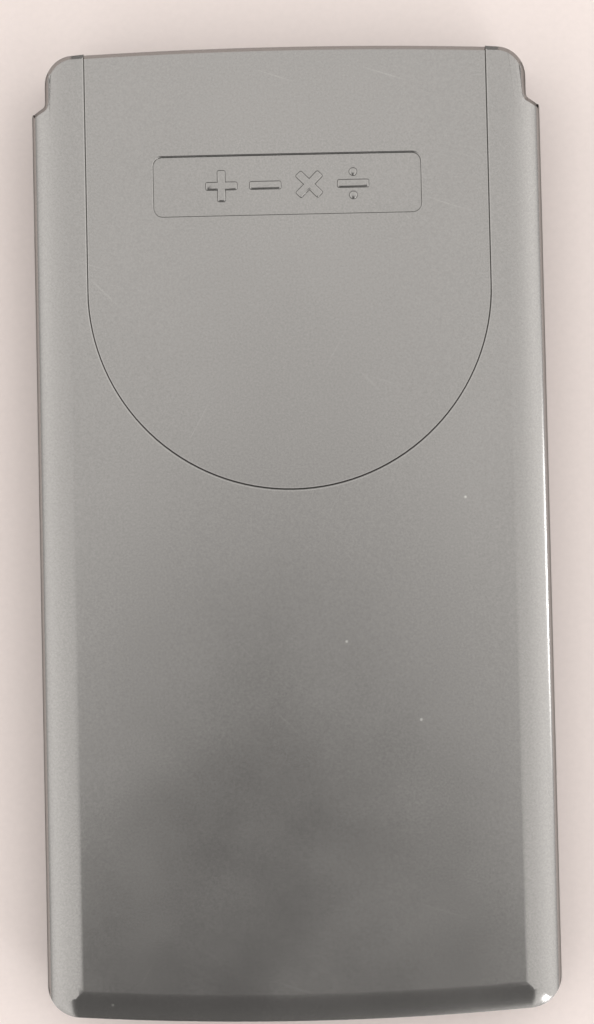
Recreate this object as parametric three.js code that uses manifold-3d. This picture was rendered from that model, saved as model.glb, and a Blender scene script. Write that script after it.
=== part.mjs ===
// Pocket scientific calculator in its slide-on hard cover.
// It lies on its back with the cover closed over the keys. +X is to the right, +Y towards the display end,
// +Z out of the cover's face, and the origin is under the middle of the closed cover, on the table.
import * as THREE from "three";
import { mergeVertices } from "three/addons/utils/BufferGeometryUtils.js";
import Module from "manifold-3d";

const wasm = await Module();
wasm.setup();

// ---- Driving sizes, in millimetres ----

// Calculator body
const BODY_WIDTH = 78;
const BODY_LENGTH = 154.4;
const BODY_CORNER = 4.5; // corner radius seen from above
const BODY_EDGE = 1.5; // rounding of the outer edges
const TOP_END_RADIUS = 840; // arc of the bowed display end
const LOW_END_RADIUS = 500; // arc of the bowed closed end
const FOOT_HEIGHT = 0.6;
const FOOT_RADIUS = 3.5;
const FOOT_INSET = 10; // foot centre from the body's side
const REAR_FLANGE = 4.8; // rear case side, below the cover's groove
const FRONT_FLANGE = 3.6; // front case side, above the groove
const GROOVE_HEIGHT = 2;
const GROOVE_DEPTH = 1.6;
const CASE_WALL = 1.5;
const END_WALL = 1.6;
const DECK = 1.6; // thickness of the keypad deck
const DISPLAY_RISE = 1.6; // display deck above the keypad deck
const DISPLAY_DECK = 2.4; // thickness of the display deck
const DISPLAY_LENGTH = 44.7; // display deck, along the body
const DISPLAY_SLOPE = 2.5; // run of the slope between the decks
const SEAM = 0.2; // seam between front and rear case

// Slide-on cover
const COVER_WALL = 1.9;
const COVER_GAP = 0.3; // running gap between cover and body
const COVER_CROWN = 0.4; // rise of the face across its width
const COVER_SHOULDER = 6; // radius of the long edges
const COVER_END_ROLL = 3; // radius of the closed end's edge
const COVER_CORNER = 5; // corner radius seen from above
const TONGUE_LENGTH = 9.9; // face without rails, at the open end
const TONGUE_CORNER = 4.5;
const TONGUE_EDGE = 1.2;
const TONGUE_OVERHANG = 0.3; // tongue past the body's display end
const TONGUE_DROP = 3.5; // cover's face to the tongue's lower edges
const RAIL_CHAMFER = 1.2;
const LIP = 1.5; // thickness of the rail's inward lip
const LIP_GAP = 0.3; // between the lip's edge and the groove's floor
const THUMB_WIDTH = 65; // the shallow recess, round at its lower end
const THUMB_STRAIGHT = 39.3; // from the open end to the round end's centre
const THUMB_DEPTH = 0.5;
const PANEL_WIDTH = 43.2; // recessed name panel
const PANEL_HEIGHT = 9.6;
const PANEL_CORNER = 1.3;
const PANEL_DEPTH = 0.4;
const PANEL_FROM_END = 22.9; // open end to the panel's centre
const SIGN_HEIGHT = 5.2; // raised arithmetic signs on the panel
const SIGN_STROKE = 1.3;
const SIGN_PITCH = 7.1;
const SIGN_RELIEF = 0.35;

// Keys
const COLUMNS = 5;
const KEYPAD_MARGIN = 0.8; // from the case's inner wall to the outer key flanges
const KEYPAD_FOOT = 8.8; // from the body's lower end to the lowest key flanges
const KEYPAD_HEAD = 2.2; // from the display deck's slope to the highest key flanges
const FLANGE = 0.9; // how far a key's retaining flange stands out all round
const FLANGE_THICK = 0.8;
const FLANGE_GAP = 0.6; // between neighbouring flanges across a row
const ROW_GAP = 1.9; // between neighbouring flanges along the body
const KEY_FIT = 0.3; // gap between a key and its opening, and above its flange
const KEY_TRAVEL = 1;
const KEY_CORNER = 1.6;
const KEY_EDGE = 0.5; // bevel round a key's top
const MAIN_RISE = 1.6; // top of the large keys above the deck
const FUNCTION_RISE = 1.2;
const CURSOR_WIDTH = 20; // at most; it is narrower where its neighbours leave less
const TOP_KEY_WIDTH = 9.6; // keys beside the cursor
const CURSOR_DROP = 0.6; // cursor's flange below the keys' flanges, room to rock
const ROW_WEIGHTS = { cursor: 9, function: 5.6, main: 8.4 }; // relative key heights

// Inside
const BOARD = 1.2;
const BOARD_UNDER = 2.3; // board above the rear case's floor
const BOARD_GAP = 0.5; // board to the case's walls
const BOARD_END = 12.5; // board past the start of the display deck
const STACK_GAP = 0.3; // between parts that lie on each other
const MAT = 0.8;
const DOME_BASE = 3.1;
const DOME_TOP = 2.2;
const WINDOW = 1.2; // thickness of the display and solar windows
const WINDOW_FIT = 0.2;
const WINDOW_LEDGE = 3.2; // window past its opening, each side
const DISPLAY_MARGIN = 5.5; // from the body's side to the display window
const DISPLAY_WINDOW_HEIGHT = 25;
const DISPLAY_WINDOW_FROM_SLOPE = 2.2;
const LCD_THICK = 1.7;
const LCD_BORDER = 2; // glass past the visible opening
const CONNECTOR = 2; // width of the elastomer connector strip
const SOLAR_HEIGHT = 12;
const SOLAR_WIDTH = 36;
const SOLAR_FROM_TOP = 9.2; // body's display end to the solar window's centre
const SOLAR_SHIFT = 11; // towards +X
const SOLAR_LEDGE = 1.6;
const CELL_RADIUS = 5.8; // button cell, 11.6 by 5.4
const CELL_HEIGHT = 5.4;
const CELL_X = -17;
const CELL_FROM_TOP = 10.2;
const CELL_FIT = 0.3;
const DOOR_WIDTH = 16;
const DOOR_LENGTH = 24;
const DOOR_THICK = 1.2;
const DOOR_FIT = 0.2;
const DOOR_FRAME = 2.5; // frame past the door's edge
const CONTACT = 0.3; // thickness of the battery contacts
const CONTACT_WIDTH = 4;
const SCREW_SHANK = 0.9;
const SCREW_HEAD = 1.8;
const SCREW_HEAD_THICK = 1.2;
const SCREW_LENGTH = 6;
const SCREW_FIT = 0.2;
const SCREW_INSET = 7; // screw axis from the body's sides
const SCREW_FROM_END = 5.8; // screw axis from the body's ends
const SCREW_SINK = 0.3; // head below the surface
const BOSS_RADIUS = 2.6;
const POST_RADIUS = 3.1;
const CHIP_RADIUS = 6;
const CHIP_HEIGHT = 1.5;
const RESET_RADIUS = 0.9;
const LABEL_WIDTH = 44; // plain recess on the back
const LABEL_HEIGHT = 22;
const LABEL_DEPTH = 0.3;

// ---- Places worked out from them ----

const bodyHalf = BODY_WIDTH / 2;
const coverHalf = bodyHalf + COVER_GAP + COVER_WALL;
const coverLength = BODY_LENGTH + COVER_GAP + COVER_WALL + TONGUE_OVERHANG;
const coverLow = -coverLength / 2;
const coverHigh = coverLength / 2;
const bodyLow = coverLow + COVER_WALL + COVER_GAP;
const bodyHigh = bodyLow + BODY_LENGTH;

const rearUnder = FOOT_HEIGHT;
const floorTop = rearUnder + CASE_WALL;
const grooveLow = rearUnder + REAR_FLANGE;
const grooveHigh = grooveLow + GROOVE_HEIGHT;
const parting = (grooveLow + grooveHigh) / 2;
const deckTop = grooveHigh + FRONT_FLANGE;
const deckUnder = deckTop - DECK;
const displayTop = deckTop + DISPLAY_RISE;
const displayUnder = displayTop - DISPLAY_DECK;
const coverUnder = Math.max(displayTop, deckTop + MAIN_RISE) + COVER_GAP + COVER_CROWN;
const coverTop = coverUnder + COVER_WALL;
const lipLow = parting - LIP / 2;
const sideRoll = COVER_SHOULDER - COVER_WALL - COVER_GAP; // long top edges, under the cover's shoulders
const railEnd = coverHigh - TONGUE_LENGTH;

const innerHalf = bodyHalf - GROOVE_DEPTH - CASE_WALL;
const innerLow = bodyLow + END_WALL;
const innerHigh = bodyHigh - END_WALL;
const displayLow = bodyHigh - DISPLAY_LENGTH; // where the display deck is full height
const slopeLow = displayLow - DISPLAY_SLOPE;

const boardUnder = floorTop + BOARD_UNDER;
const boardTop = boardUnder + BOARD;
const matUnder = boardTop + STACK_GAP;
const matTop = matUnder + MAT;
const flangeTop = deckUnder - KEY_FIT;
const flangeUnder = flangeTop - FLANGE_THICK;
const domeTop = flangeUnder - STACK_GAP;
const boardHigh = displayLow + BOARD_END;

// ---- Outlines ----

function arc(x, y, radius, from, to, steps) {
  const points = [];
  for (let i = 0; i <= steps; i++) {
    const a = from + ((to - from) * i) / steps;
    points.push(new THREE.Vector2(x + radius * Math.cos(a), y + radius * Math.sin(a)));
  }
  return points;
}

function outline(points) {
  const kept = points.filter((p, i) => p.distanceTo(points[(i + 1) % points.length]) > 1e-4);
  return new THREE.Shape(kept);
}

// Straight sides, bowed ends and rounded corners, seen from above.
function plan(half, low, high, corner, steps = 5) {
  const x = half - corner;
  const highCentre = high - TOP_END_RADIUS;
  const lowCentre = low + LOW_END_RADIUS;
  const highY = highCentre + Math.sqrt((TOP_END_RADIUS - corner) ** 2 - x * x);
  const lowY = lowCentre - Math.sqrt((LOW_END_RADIUS - corner) ** 2 - x * x);
  const a = Math.atan2(highY - highCentre, x);
  const b = Math.atan2(lowCentre - lowY, x);
  return outline([
    ...arc(x, highY, corner, 0, a, steps),
    ...arc(0, highCentre, TOP_END_RADIUS, a, Math.PI - a, 6),
    ...arc(-x, highY, corner, Math.PI - a, Math.PI, steps),
    ...arc(-x, lowY, corner, Math.PI, Math.PI + b, steps),
    ...arc(0, lowCentre, LOW_END_RADIUS, Math.PI + b, 2 * Math.PI - b, 6),
    ...arc(x, lowY, corner, 2 * Math.PI - b, 2 * Math.PI, steps),
  ]);
}

function roundedRectangle(width, height, corner, x = 0, y = 0, steps = 3) {
  const dx = width / 2 - corner;
  const dy = height / 2 - corner;
  const quarter = Math.PI / 2;
  return outline([
    ...arc(x + dx, y + dy, corner, 0, quarter, steps),
    ...arc(x - dx, y + dy, corner, quarter, 2 * quarter, steps),
    ...arc(x - dx, y - dy, corner, 2 * quarter, 3 * quarter, steps),
    ...arc(x + dx, y - dy, corner, 3 * quarter, 4 * quarter, steps),
  ]);
}

// Cross-section of a shell with rolled long edges and a crowned face, in X and Z.
function loaf(half, low, top, roll, crown) {
  const flat = half - roll;
  const rollZ = top - crown - roll;
  const face = [];
  for (let i = 1; i < 8; i++) {
    const x = flat * (1 - i / 4);
    face.push(new THREE.Vector2(x, top - crown * (x / flat) ** 2));
  }
  return outline([
    new THREE.Vector2(half, low),
    ...arc(flat, rollZ, roll, 0, Math.PI / 2, 7),
    ...face,
    ...arc(-flat, rollZ, roll, Math.PI / 2, Math.PI, 7),
    new THREE.Vector2(-half, low),
  ]);
}

// ---- Solids ----

function solid(geometry) {
  const bare = new THREE.BufferGeometry();
  bare.setAttribute("position", geometry.getAttribute("position"));
  bare.setIndex(geometry.index);
  const merged = mergeVertices(bare, 1e-4);
  const mesh = new wasm.Mesh({
    numProp: 3,
    vertProperties: merged.getAttribute("position").array,
    triVerts: new Uint32Array(merged.index.array),
  });
  return new wasm.Manifold(mesh);
}

// An outline in X and Y, from one height to another, with its edges rounded or square.
function prism(shape, low, high, edge = 0, segments = 3) {
  const rounded = edge > 0;
  const geometry = new THREE.ExtrudeGeometry(shape, {
    depth: high - low - 2 * edge,
    bevelEnabled: rounded,
    bevelThickness: edge,
    bevelSize: edge,
    bevelOffset: -edge,
    bevelSegments: segments,
  });
  return solid(geometry.translate(0, 0, low + edge));
}

// An outline in X and Z, from one Y to another.
function alongY(shape, low, high) {
  const geometry = new THREE.ExtrudeGeometry(shape, { depth: high - low, bevelEnabled: false });
  return solid(geometry.rotateX(Math.PI / 2).translate(0, high, 0));
}

// An outline in Y and Z, from one X to another.
function alongX(shape, low, high) {
  const geometry = new THREE.ExtrudeGeometry(shape, { depth: high - low, bevelEnabled: false });
  const turn = new THREE.Matrix4().makeBasis(
    new THREE.Vector3(0, 1, 0),
    new THREE.Vector3(0, 0, 1),
    new THREE.Vector3(1, 0, 0),
  );
  return solid(geometry.applyMatrix4(turn).translate(low, 0, 0));
}

function box(x, y, z) {
  const geometry = new THREE.BoxGeometry(x[1] - x[0], y[1] - y[0], z[1] - z[0]);
  return solid(geometry.translate((x[0] + x[1]) / 2, (y[0] + y[1]) / 2, (z[0] + z[1]) / 2));
}

function rod(x, y, low, high, radius, topRadius = radius, sides = 16) {
  const geometry = new THREE.CylinderGeometry(topRadius, radius, high - low, sides);
  return solid(geometry.rotateX(Math.PI / 2).translate(x, y, (low + high) / 2));
}

const union = (solids) => solids.reduce((a, b) => a.add(b));

const past = 10; // how far a cut runs past what it cuts

// Everything between two heights.
const everywhere = (low, high) =>
  box([-coverHalf - past, coverHalf + past], [coverLow - past, coverHigh + past], [low, high]);

// ---- Materials ----

const finish = (color, roughness, metalness = 0, extra = {}) =>
  new THREE.MeshStandardMaterial({ color, roughness, metalness, ...extra });

const coverPlastic = finish(0x63666a, 0.38);
const frontPlastic = finish(0x3b3e43, 0.45);
const rearPlastic = finish(0x34363a, 0.5);
const clearPlastic = finish(0xd8dfdc, 0.08, 0, { transparent: true, opacity: 0.35 });
const displayGlass = finish(0x9aa594, 0.25);
const solarGlass = finish(0x2a1f24, 0.2);
const paleKey = finish(0xb9bcc0, 0.5);
const darkKey = finish(0x26282c, 0.5);
const redKey = finish(0xa8463a, 0.5);
const siliconeRubber = finish(0x8f9499, 0.7);
const elastomer = finish(0x3c3c3e, 0.8);
const boardLaminate = finish(0x2f6b46, 0.5);
const epoxy = finish(0x141414, 0.35);
const steel = finish(0xb4b6b8, 0.35, 1);
const nickel = finish(0xc8c4ba, 0.3, 1);

const calculator = new THREE.Group();

function place(name, shape, material) {
  const { vertProperties, triVerts, numProp } = shape.getMesh();
  if (numProp !== 3) throw new Error(name + " has more than positions");
  const geometry = new THREE.BufferGeometry();
  geometry.setAttribute("position", new THREE.BufferAttribute(vertProperties, 3));
  geometry.setIndex(new THREE.BufferAttribute(triVerts, 1));
  geometry.computeVertexNormals();
  const mesh = new THREE.Mesh(geometry, material);
  mesh.name = name;
  calculator.add(mesh);
}

// ---- Slide-on cover ----

// The cover's outer form, or its cavity when inset by the wall, open past the display end.
function coverForm(inset, low) {
  const section = loaf(coverHalf - inset, low, coverTop - inset, COVER_SHOULDER - inset, COVER_CROWN);
  const seen = plan(coverHalf - inset, coverLow + inset, coverHigh + past, COVER_CORNER - inset);
  const roll = COVER_END_ROLL - inset;
  return alongY(section, coverLow - past, coverHigh + past).intersect(
    prism(seen, low - roll, coverTop - inset, roll, 4),
  );
}

// Everything inside an outline that lies above the face, once the face is lowered by a depth.
function faceCut(shape, depth) {
  const lowered = loaf(coverHalf, lipLow, coverTop - depth, COVER_SHOULDER, COVER_CROWN);
  const under = alongY(lowered, coverLow - past, coverHigh + past);
  return prism(shape, coverUnder, coverTop + past).subtract(under);
}

function thumbOutline() {
  const half = THUMB_WIDTH / 2;
  const centre = coverHigh - THUMB_STRAIGHT;
  return outline([
    new THREE.Vector2(half, coverHigh + past),
    new THREE.Vector2(-half, coverHigh + past),
    ...arc(0, centre, half, Math.PI, 2 * Math.PI, 28),
  ]);
}

// The four arithmetic signs, as bars and dots on the name panel.
function signs(low, high) {
  const y = coverHigh - PANEL_FROM_END;
  const arm = SIGN_HEIGHT / 2;
  const half = SIGN_STROKE / 2;
  const bar = (x) => box([x - arm, x + arm], [y - half, y + half], [low, high]);
  const crossing = (x, turn) => {
    const one = bar(0).translate(0, -y, 0);
    return union([one, one.rotate(0, 0, 90)]).rotate(0, 0, turn).translate(x, y, 0);
  };
  const dot = (x, side) => rod(x, y + side * (arm - half), low, high, half, half, 10);
  const at = (n) => (n - 1.5) * SIGN_PITCH;
  const division = union([bar(at(3)), dot(at(3), 1), dot(at(3), -1)]);
  return union([crossing(at(0), 0), bar(at(1)), crossing(at(2), 45), division]);
}

function slideCover() {
  const form = coverForm(0, lipLow);
  const railShape = outline([
    new THREE.Vector2(coverHalf + past, coverLow - past),
    new THREE.Vector2(coverHalf + past, railEnd - RAIL_CHAMFER - past),
    new THREE.Vector2(bodyHalf, railEnd),
    new THREE.Vector2(-bodyHalf, railEnd),
    new THREE.Vector2(-coverHalf - past, railEnd - RAIL_CHAMFER - past),
    new THREE.Vector2(-coverHalf - past, coverLow - past),
  ]);
  const railed = form.intersect(prism(railShape, 0, coverTop + past));
  const tongueShape = plan(bodyHalf, coverLow, coverHigh, TONGUE_CORNER);
  const tongue = form
    .intersect(prism(tongueShape, lipLow - past, coverTop, TONGUE_EDGE))
    .subtract(everywhere(0, coverTop - TONGUE_DROP));
  const shell = union([railed, tongue]).subtract(coverForm(COVER_WALL, lipLow - past));
  const reach = bodyHalf - GROOVE_DEPTH + LIP_GAP;
  const lips = [-1, 1].map((side) => {
    const x = [side * reach, side * (coverHalf - COVER_WALL / 2)].sort((a, b) => a - b);
    return box(x, [coverLow + COVER_CORNER, railEnd], [lipLow, lipLow + LIP]).intersect(railed);
  });
  const panel = roundedRectangle(PANEL_WIDTH, PANEL_HEIGHT, PANEL_CORNER, 0, coverHigh - PANEL_FROM_END);
  const panelFloor = coverTop - THUMB_DEPTH - PANEL_DEPTH;
  return union([shell, ...lips])
    .subtract(faceCut(thumbOutline(), THUMB_DEPTH))
    .subtract(faceCut(panel, THUMB_DEPTH + PANEL_DEPTH))
    .add(signs(panelFloor - PANEL_DEPTH, panelFloor + SIGN_RELIEF));
}

// ---- Key layout ----

const ROWS = [
  { kind: "cursor", keys: ["key_shift", "key_mode", null, "key_setup", "key_on"] },
  { kind: "function", keys: ["key_root", "key_square", "key_power", "key_log", "key_ln"] },
  { kind: "function", keys: ["key_negate", "key_pi", "key_sin", "key_cos", "key_tan"] },
  { kind: "function", keys: ["key_memory", "key_recall", "key_open", "key_close", "key_percent"] },
  { kind: "main", keys: ["key_7", "key_8", "key_9", "key_delete", "key_clear"] },
  { kind: "main", keys: ["key_4", "key_5", "key_6", "key_times", "key_divide"] },
  { kind: "main", keys: ["key_1", "key_2", "key_3", "key_plus", "key_minus"] },
  { kind: "main", keys: ["key_0", "key_point", "key_exponent", "key_answer", "key_equals"] },
];

const keypadLow = bodyLow + KEYPAD_FOOT;
const keypadHigh = slopeLow - KEYPAD_HEAD;
const columnPitch = (2 * (innerHalf - KEYPAD_MARGIN)) / COLUMNS;
const keyWidth = columnPitch - FLANGE_GAP - 2 * FLANGE;

// Each key's centre and size, from the rows' weights and the length that the keypad has.
function layOut() {
  const gaps = (ROWS.length - 1) * ROW_GAP + ROWS.length * 2 * FLANGE;
  const weight = ROWS.reduce((sum, row) => sum + ROW_WEIGHTS[row.kind], 0);
  const scale = (keypadHigh - keypadLow - gaps) / weight;
  const keys = [];
  let edge = keypadHigh;
  for (const row of ROWS) {
    const pitch = ROW_WEIGHTS[row.kind] * scale + 2 * FLANGE;
    const y = edge - pitch / 2;
    edge -= pitch + ROW_GAP;
    row.keys.forEach((name, column) => {
      const height = row.kind === "main" ? pitch - 2 * FLANGE : ROW_WEIGHTS.function * scale;
      const from = column - (COLUMNS - 1) / 2;
      const x = row.kind === "cursor" ? topRowX(from) : from * columnPitch;
      const width = row.kind === "cursor" ? TOP_KEY_WIDTH : keyWidth;
      const rise = row.kind === "main" ? MAIN_RISE : FUNCTION_RISE;
      if (name) keys.push({ name, x, y, width, height, corner: KEY_CORNER, rise, steps: 2 });
      else keys.push(cursorAt(x, y, ROW_WEIGHTS.cursor * scale));
    });
  }
  return keys;
}

// The narrower keys of the top row stand against the keypad's two sides.
function topRowX(from) {
  const outer = ((COLUMNS - 1) / 2) * columnPitch + keyWidth / 2 - TOP_KEY_WIDTH / 2;
  const inward = (COLUMNS - 1) / 2 - Math.abs(from);
  return from === 0 ? 0 : Math.sign(from) * (outer - inward * (TOP_KEY_WIDTH + 2 * FLANGE + FLANGE_GAP));
}

// The cursor rocker is a stadium between the two pairs of keys beside it.
function cursorAt(x, y, height) {
  const room = 2 * (topRowX(1) - TOP_KEY_WIDTH / 2 - 2 * FLANGE - FLANGE_GAP);
  const width = Math.min(CURSOR_WIDTH, room);
  const short = Math.min(height, width);
  return { name: "cursor_rocker", x, y, width, height: short, corner: short / 2, rise: MAIN_RISE, steps: 5 };
}

const keys = layOut();

// A key's outline, larger all round by a margin.
const keyOutline = ({ x, y, width, height, corner, steps }, margin) =>
  roundedRectangle(width + 2 * margin, height + 2 * margin, corner + margin, x, y, steps);

function keyCap(key) {
  const drop = key.name === "cursor_rocker" ? CURSOR_DROP : 0;
  const low = flangeUnder - drop;
  const cap = prism(keyOutline(key, 0), low - KEY_EDGE, deckTop + key.rise, KEY_EDGE, 1);
  return cap.subtract(everywhere(0, low)).add(prism(keyOutline(key, FLANGE), low, low + FLANGE_THICK));
}

// ---- Front case ----

const screwX = bodyHalf - SCREW_INSET;
const screwPlaces = [
  [-screwX, bodyHigh - SCREW_FROM_END],
  [screwX, bodyHigh - SCREW_FROM_END],
  [-screwX, bodyLow + SCREW_FROM_END],
  [screwX, bodyLow + SCREW_FROM_END],
];
const bossUnder = floorTop + SCREW_HEAD_THICK + SCREW_SINK + CASE_WALL / 2;
const headTop = rearUnder + SCREW_SINK + SCREW_HEAD_THICK;

const pilotHole = (x, y, high) => rod(x, y, 0, high, SCREW_SHANK + SCREW_FIT, SCREW_SHANK + SCREW_FIT, 10);

// Both cases as one closed form, before it is parted and hollowed.
function bodyForm() {
  const section = loaf(bodyHalf, rearUnder, displayTop, sideRoll, 0);
  const form = alongY(section, bodyLow - past, bodyHigh + past).intersect(
    prism(plan(bodyHalf, bodyLow, bodyHigh, BODY_CORNER), rearUnder, displayTop, BODY_EDGE, 3),
  );
  const overKeys = outline([
    new THREE.Vector2(bodyLow - past, deckTop),
    new THREE.Vector2(slopeLow, deckTop),
    new THREE.Vector2(displayLow, displayTop + 0.01),
    new THREE.Vector2(displayLow, displayTop + past),
    new THREE.Vector2(bodyLow - past, displayTop + past),
  ]);
  const grooves = [-1, 1].map((side) => {
    const x = [side * (bodyHalf - GROOVE_DEPTH), side * (bodyHalf + past)].sort((a, b) => a - b);
    return box(x, [bodyLow - past, railEnd + RAIL_CHAMFER], [grooveLow, grooveHigh]);
  });
  return form
    .subtract(alongX(overKeys, -bodyHalf - past, bodyHalf + past))
    .subtract(grooves[0])
    .subtract(grooves[1]);
}

const body = bodyForm();

const displayWindow = {
  width: BODY_WIDTH - 2 * DISPLAY_MARGIN,
  height: DISPLAY_WINDOW_HEIGHT,
  x: 0,
  y: displayLow + DISPLAY_WINDOW_FROM_SLOPE + DISPLAY_WINDOW_HEIGHT / 2,
  ledge: WINDOW_LEDGE,
};
const solarWindow = {
  width: SOLAR_WIDTH,
  height: SOLAR_HEIGHT,
  x: SOLAR_SHIFT,
  y: bodyHigh - SOLAR_FROM_TOP,
  ledge: SOLAR_LEDGE,
};
const windowCorner = 1.5;

// The recess that a window sits in, and the opening under it.
function windowCut({ width, height, x, y, ledge }) {
  const fit = 2 * WINDOW_FIT;
  const seat = roundedRectangle(width + fit, height + fit, windowCorner + WINDOW_FIT, x, y);
  const opening = roundedRectangle(width - 2 * ledge, height - 2 * ledge, windowCorner, x, y);
  return union([
    prism(seat, displayTop - WINDOW - STACK_GAP, displayTop + past),
    prism(opening, parting, displayTop + past),
  ]);
}

const windowPane = ({ width, height, x, y }) =>
  prism(roundedRectangle(width, height, windowCorner, x, y), displayTop - WINDOW, displayTop);

function frontCase() {
  const inner = plan(innerHalf, innerLow, innerHigh, BODY_CORNER - END_WALL);
  const overDisplay = box(
    [-innerHalf, innerHalf],
    [displayLow + END_WALL, innerHigh + past],
    [deckUnder - past, displayUnder],
  ).intersect(prism(inner, 0, displayUnder));
  let shell = body
    .intersect(everywhere(parting + SEAM / 2, coverTop))
    .subtract(prism(inner, 0, deckUnder))
    .subtract(overDisplay);
  for (const [x, y] of screwPlaces) {
    const top = y > 0 ? displayUnder : deckUnder;
    shell = shell.add(rod(x, y, bossUnder, top + DECK / 2, BOSS_RADIUS));
  }
  for (const [x, y] of screwPlaces) {
    shell = shell.subtract(pilotHole(x, y, headTop + SCREW_LENGTH + STACK_GAP));
  }
  for (const key of keys) {
    shell = shell.subtract(prism(keyOutline(key, KEY_FIT), deckUnder - 1, deckTop + 1));
  }
  return shell.subtract(windowCut(displayWindow)).subtract(windowCut(solarWindow));
}

// ---- Rear case ----

const cellY = bodyHigh - CELL_FROM_TOP;
const doorHigh = cellY + DOOR_WIDTH / 2;
const doorLow = doorHigh - DOOR_LENGTH;
const doorY = (doorHigh + doorLow) / 2;
const doorScrewY = doorLow + POST_RADIUS;
const doorTop = rearUnder + DOOR_THICK;
const cellUnder = doorTop + STACK_GAP;
const cellTop = cellUnder + CELL_HEIGHT;
const frameTop = boardTop;
const doorScrewLength = frameTop - rearUnder - SCREW_SINK - SCREW_HEAD_THICK - STACK_GAP;
const slotLow = cellY - CONTACT_WIDTH / 2;

function rearCase() {
  const inner = plan(innerHalf, innerLow, innerHigh, BODY_CORNER - END_WALL);
  let shell = body.intersect(everywhere(0, parting - SEAM / 2)).subtract(prism(inner, floorTop, coverTop));

  for (const x of [FOOT_INSET - bodyHalf, bodyHalf - FOOT_INSET]) {
    for (const y of [bodyLow + FOOT_INSET + SCREW_FROM_END, bodyHigh - FOOT_INSET - SCREW_FROM_END]) {
      shell = shell.add(rod(x, y, 0, floorTop - CASE_WALL / 2, FOOT_RADIUS, FOOT_RADIUS, 20));
    }
  }
  for (const [x, y] of screwPlaces) {
    shell = shell.add(rod(x, y, rearUnder + BODY_EDGE / 2, bossUnder - STACK_GAP, POST_RADIUS));
  }
  for (const [x, y] of screwPlaces) {
    shell = shell
      .subtract(pilotHole(x, y, coverTop))
      .subtract(rod(x, y, 0, headTop + STACK_GAP, SCREW_HEAD + SCREW_FIT));
  }
  for (const x of [-innerHalf / 2, innerHalf / 2]) {
    for (const y of [keypadLow + 4, (keypadLow + keypadHigh) / 2, keypadHigh]) {
      shell = shell.add(rod(x, y, floorTop - 1, boardUnder - STACK_GAP, 1.6, 1.2, 10));
    }
  }
  const frame = box(
    [CELL_X - DOOR_WIDTH / 2 - DOOR_FRAME, CELL_X + DOOR_WIDTH / 2 + DOOR_FRAME],
    [doorLow - DOOR_FRAME, innerHigh - STACK_GAP],
    [floorTop - CASE_WALL / 2, frameTop],
  );
  const seat = box(
    [CELL_X - DOOR_WIDTH / 2 - DOOR_FIT, CELL_X + DOOR_WIDTH / 2 + DOOR_FIT],
    [doorLow - DOOR_FIT, doorHigh + DOOR_FIT],
    [-1, doorTop + STACK_GAP],
  );
  const contactSlot = box(
    [CELL_X, CELL_X + CELL_RADIUS + 2 * CELL_FIT + 2 * CONTACT],
    [slotLow - CELL_FIT, slotLow + CONTACT_WIDTH + CELL_FIT],
    [cellUnder + 0.4, coverTop],
  );
  const label = roundedRectangle(LABEL_WIDTH, LABEL_HEIGHT, 2, 0, -LABEL_HEIGHT / 2);
  return shell
    .add(frame)
    .subtract(seat)
    .subtract(rod(CELL_X, cellY, -1, coverTop, CELL_RADIUS + CELL_FIT, CELL_RADIUS + CELL_FIT, 24))
    .subtract(pilotHole(CELL_X, doorScrewY, coverTop))
    .subtract(contactSlot)
    .subtract(rod(innerHalf / 2, displayLow, -1, floorTop + 1, RESET_RADIUS, RESET_RADIUS, 12))
    .subtract(prism(label, -1, rearUnder + LABEL_DEPTH));
}

function screw(x, y, length) {
  const low = rearUnder + SCREW_SINK;
  const slot = SCREW_HEAD * 0.7;
  const cross = union([
    box([x - slot, x + slot], [y - 0.25, y + 0.25], [low - 1, low + 0.6]),
    box([x - 0.25, x + 0.25], [y - slot, y + slot], [low - 1, low + 0.6]),
  ]);
  return rod(x, y, low, headTop, SCREW_HEAD)
    .add(rod(x, y, headTop - 0.2, headTop + length, SCREW_SHANK, SCREW_SHANK * 0.8, 10))
    .subtract(cross);
}

function batteryDoor() {
  const x = [CELL_X - DOOR_WIDTH / 2, CELL_X + DOOR_WIDTH / 2];
  const plate = box(x, [doorLow, doorHigh], [rearUnder, doorTop]);
  const boss = rod(CELL_X, doorScrewY, rearUnder, doorTop, SCREW_HEAD + 2 * SCREW_FIT);
  const sunk = rod(CELL_X, doorScrewY, rearUnder - 1, rearUnder + SCREW_SINK + 0.6, SCREW_HEAD + SCREW_FIT);
  return plate.add(boss).subtract(sunk).subtract(pilotHole(CELL_X, doorScrewY, coverTop));
}

// A low head that sits in the door's own thickness.
function doorScrew() {
  const low = rearUnder + 0.1;
  const head = low + 0.6;
  const slot = box(
    [CELL_X - SCREW_HEAD, CELL_X + SCREW_HEAD],
    [doorScrewY - 0.3, doorScrewY + 0.3],
    [low - 1, low + 0.35],
  );
  return rod(CELL_X, doorScrewY, low, head, SCREW_HEAD)
    .add(rod(CELL_X, doorScrewY, head - 0.2, head + doorScrewLength, SCREW_SHANK, SCREW_SHANK * 0.8, 10))
    .subtract(slot);
}

// ---- Inside ----

function keypadMat() {
  const x = innerHalf - BOARD_GAP;
  const sheet = box([-x, x], [keypadLow, keypadHigh], [matUnder, matTop]);
  const dome = (x, y, high) => rod(x, y, matTop - 0.2, high, DOME_BASE, DOME_TOP, 8);
  const domes = keys.flatMap((key) => {
    if (key.name !== "cursor_rocker") return [dome(key.x, key.y, domeTop)];
    const reach = key.width / 2 - DOME_BASE;
    return [-reach, reach].map((dx) => dome(key.x + dx, key.y, domeTop - CURSOR_DROP));
  });
  return union([sheet, ...domes]);
}

function circuitBoard() {
  const x = innerHalf - BOARD_GAP;
  return box([-x, x], [keypadLow, boardHigh], [boardUnder, boardTop]);
}

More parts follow.
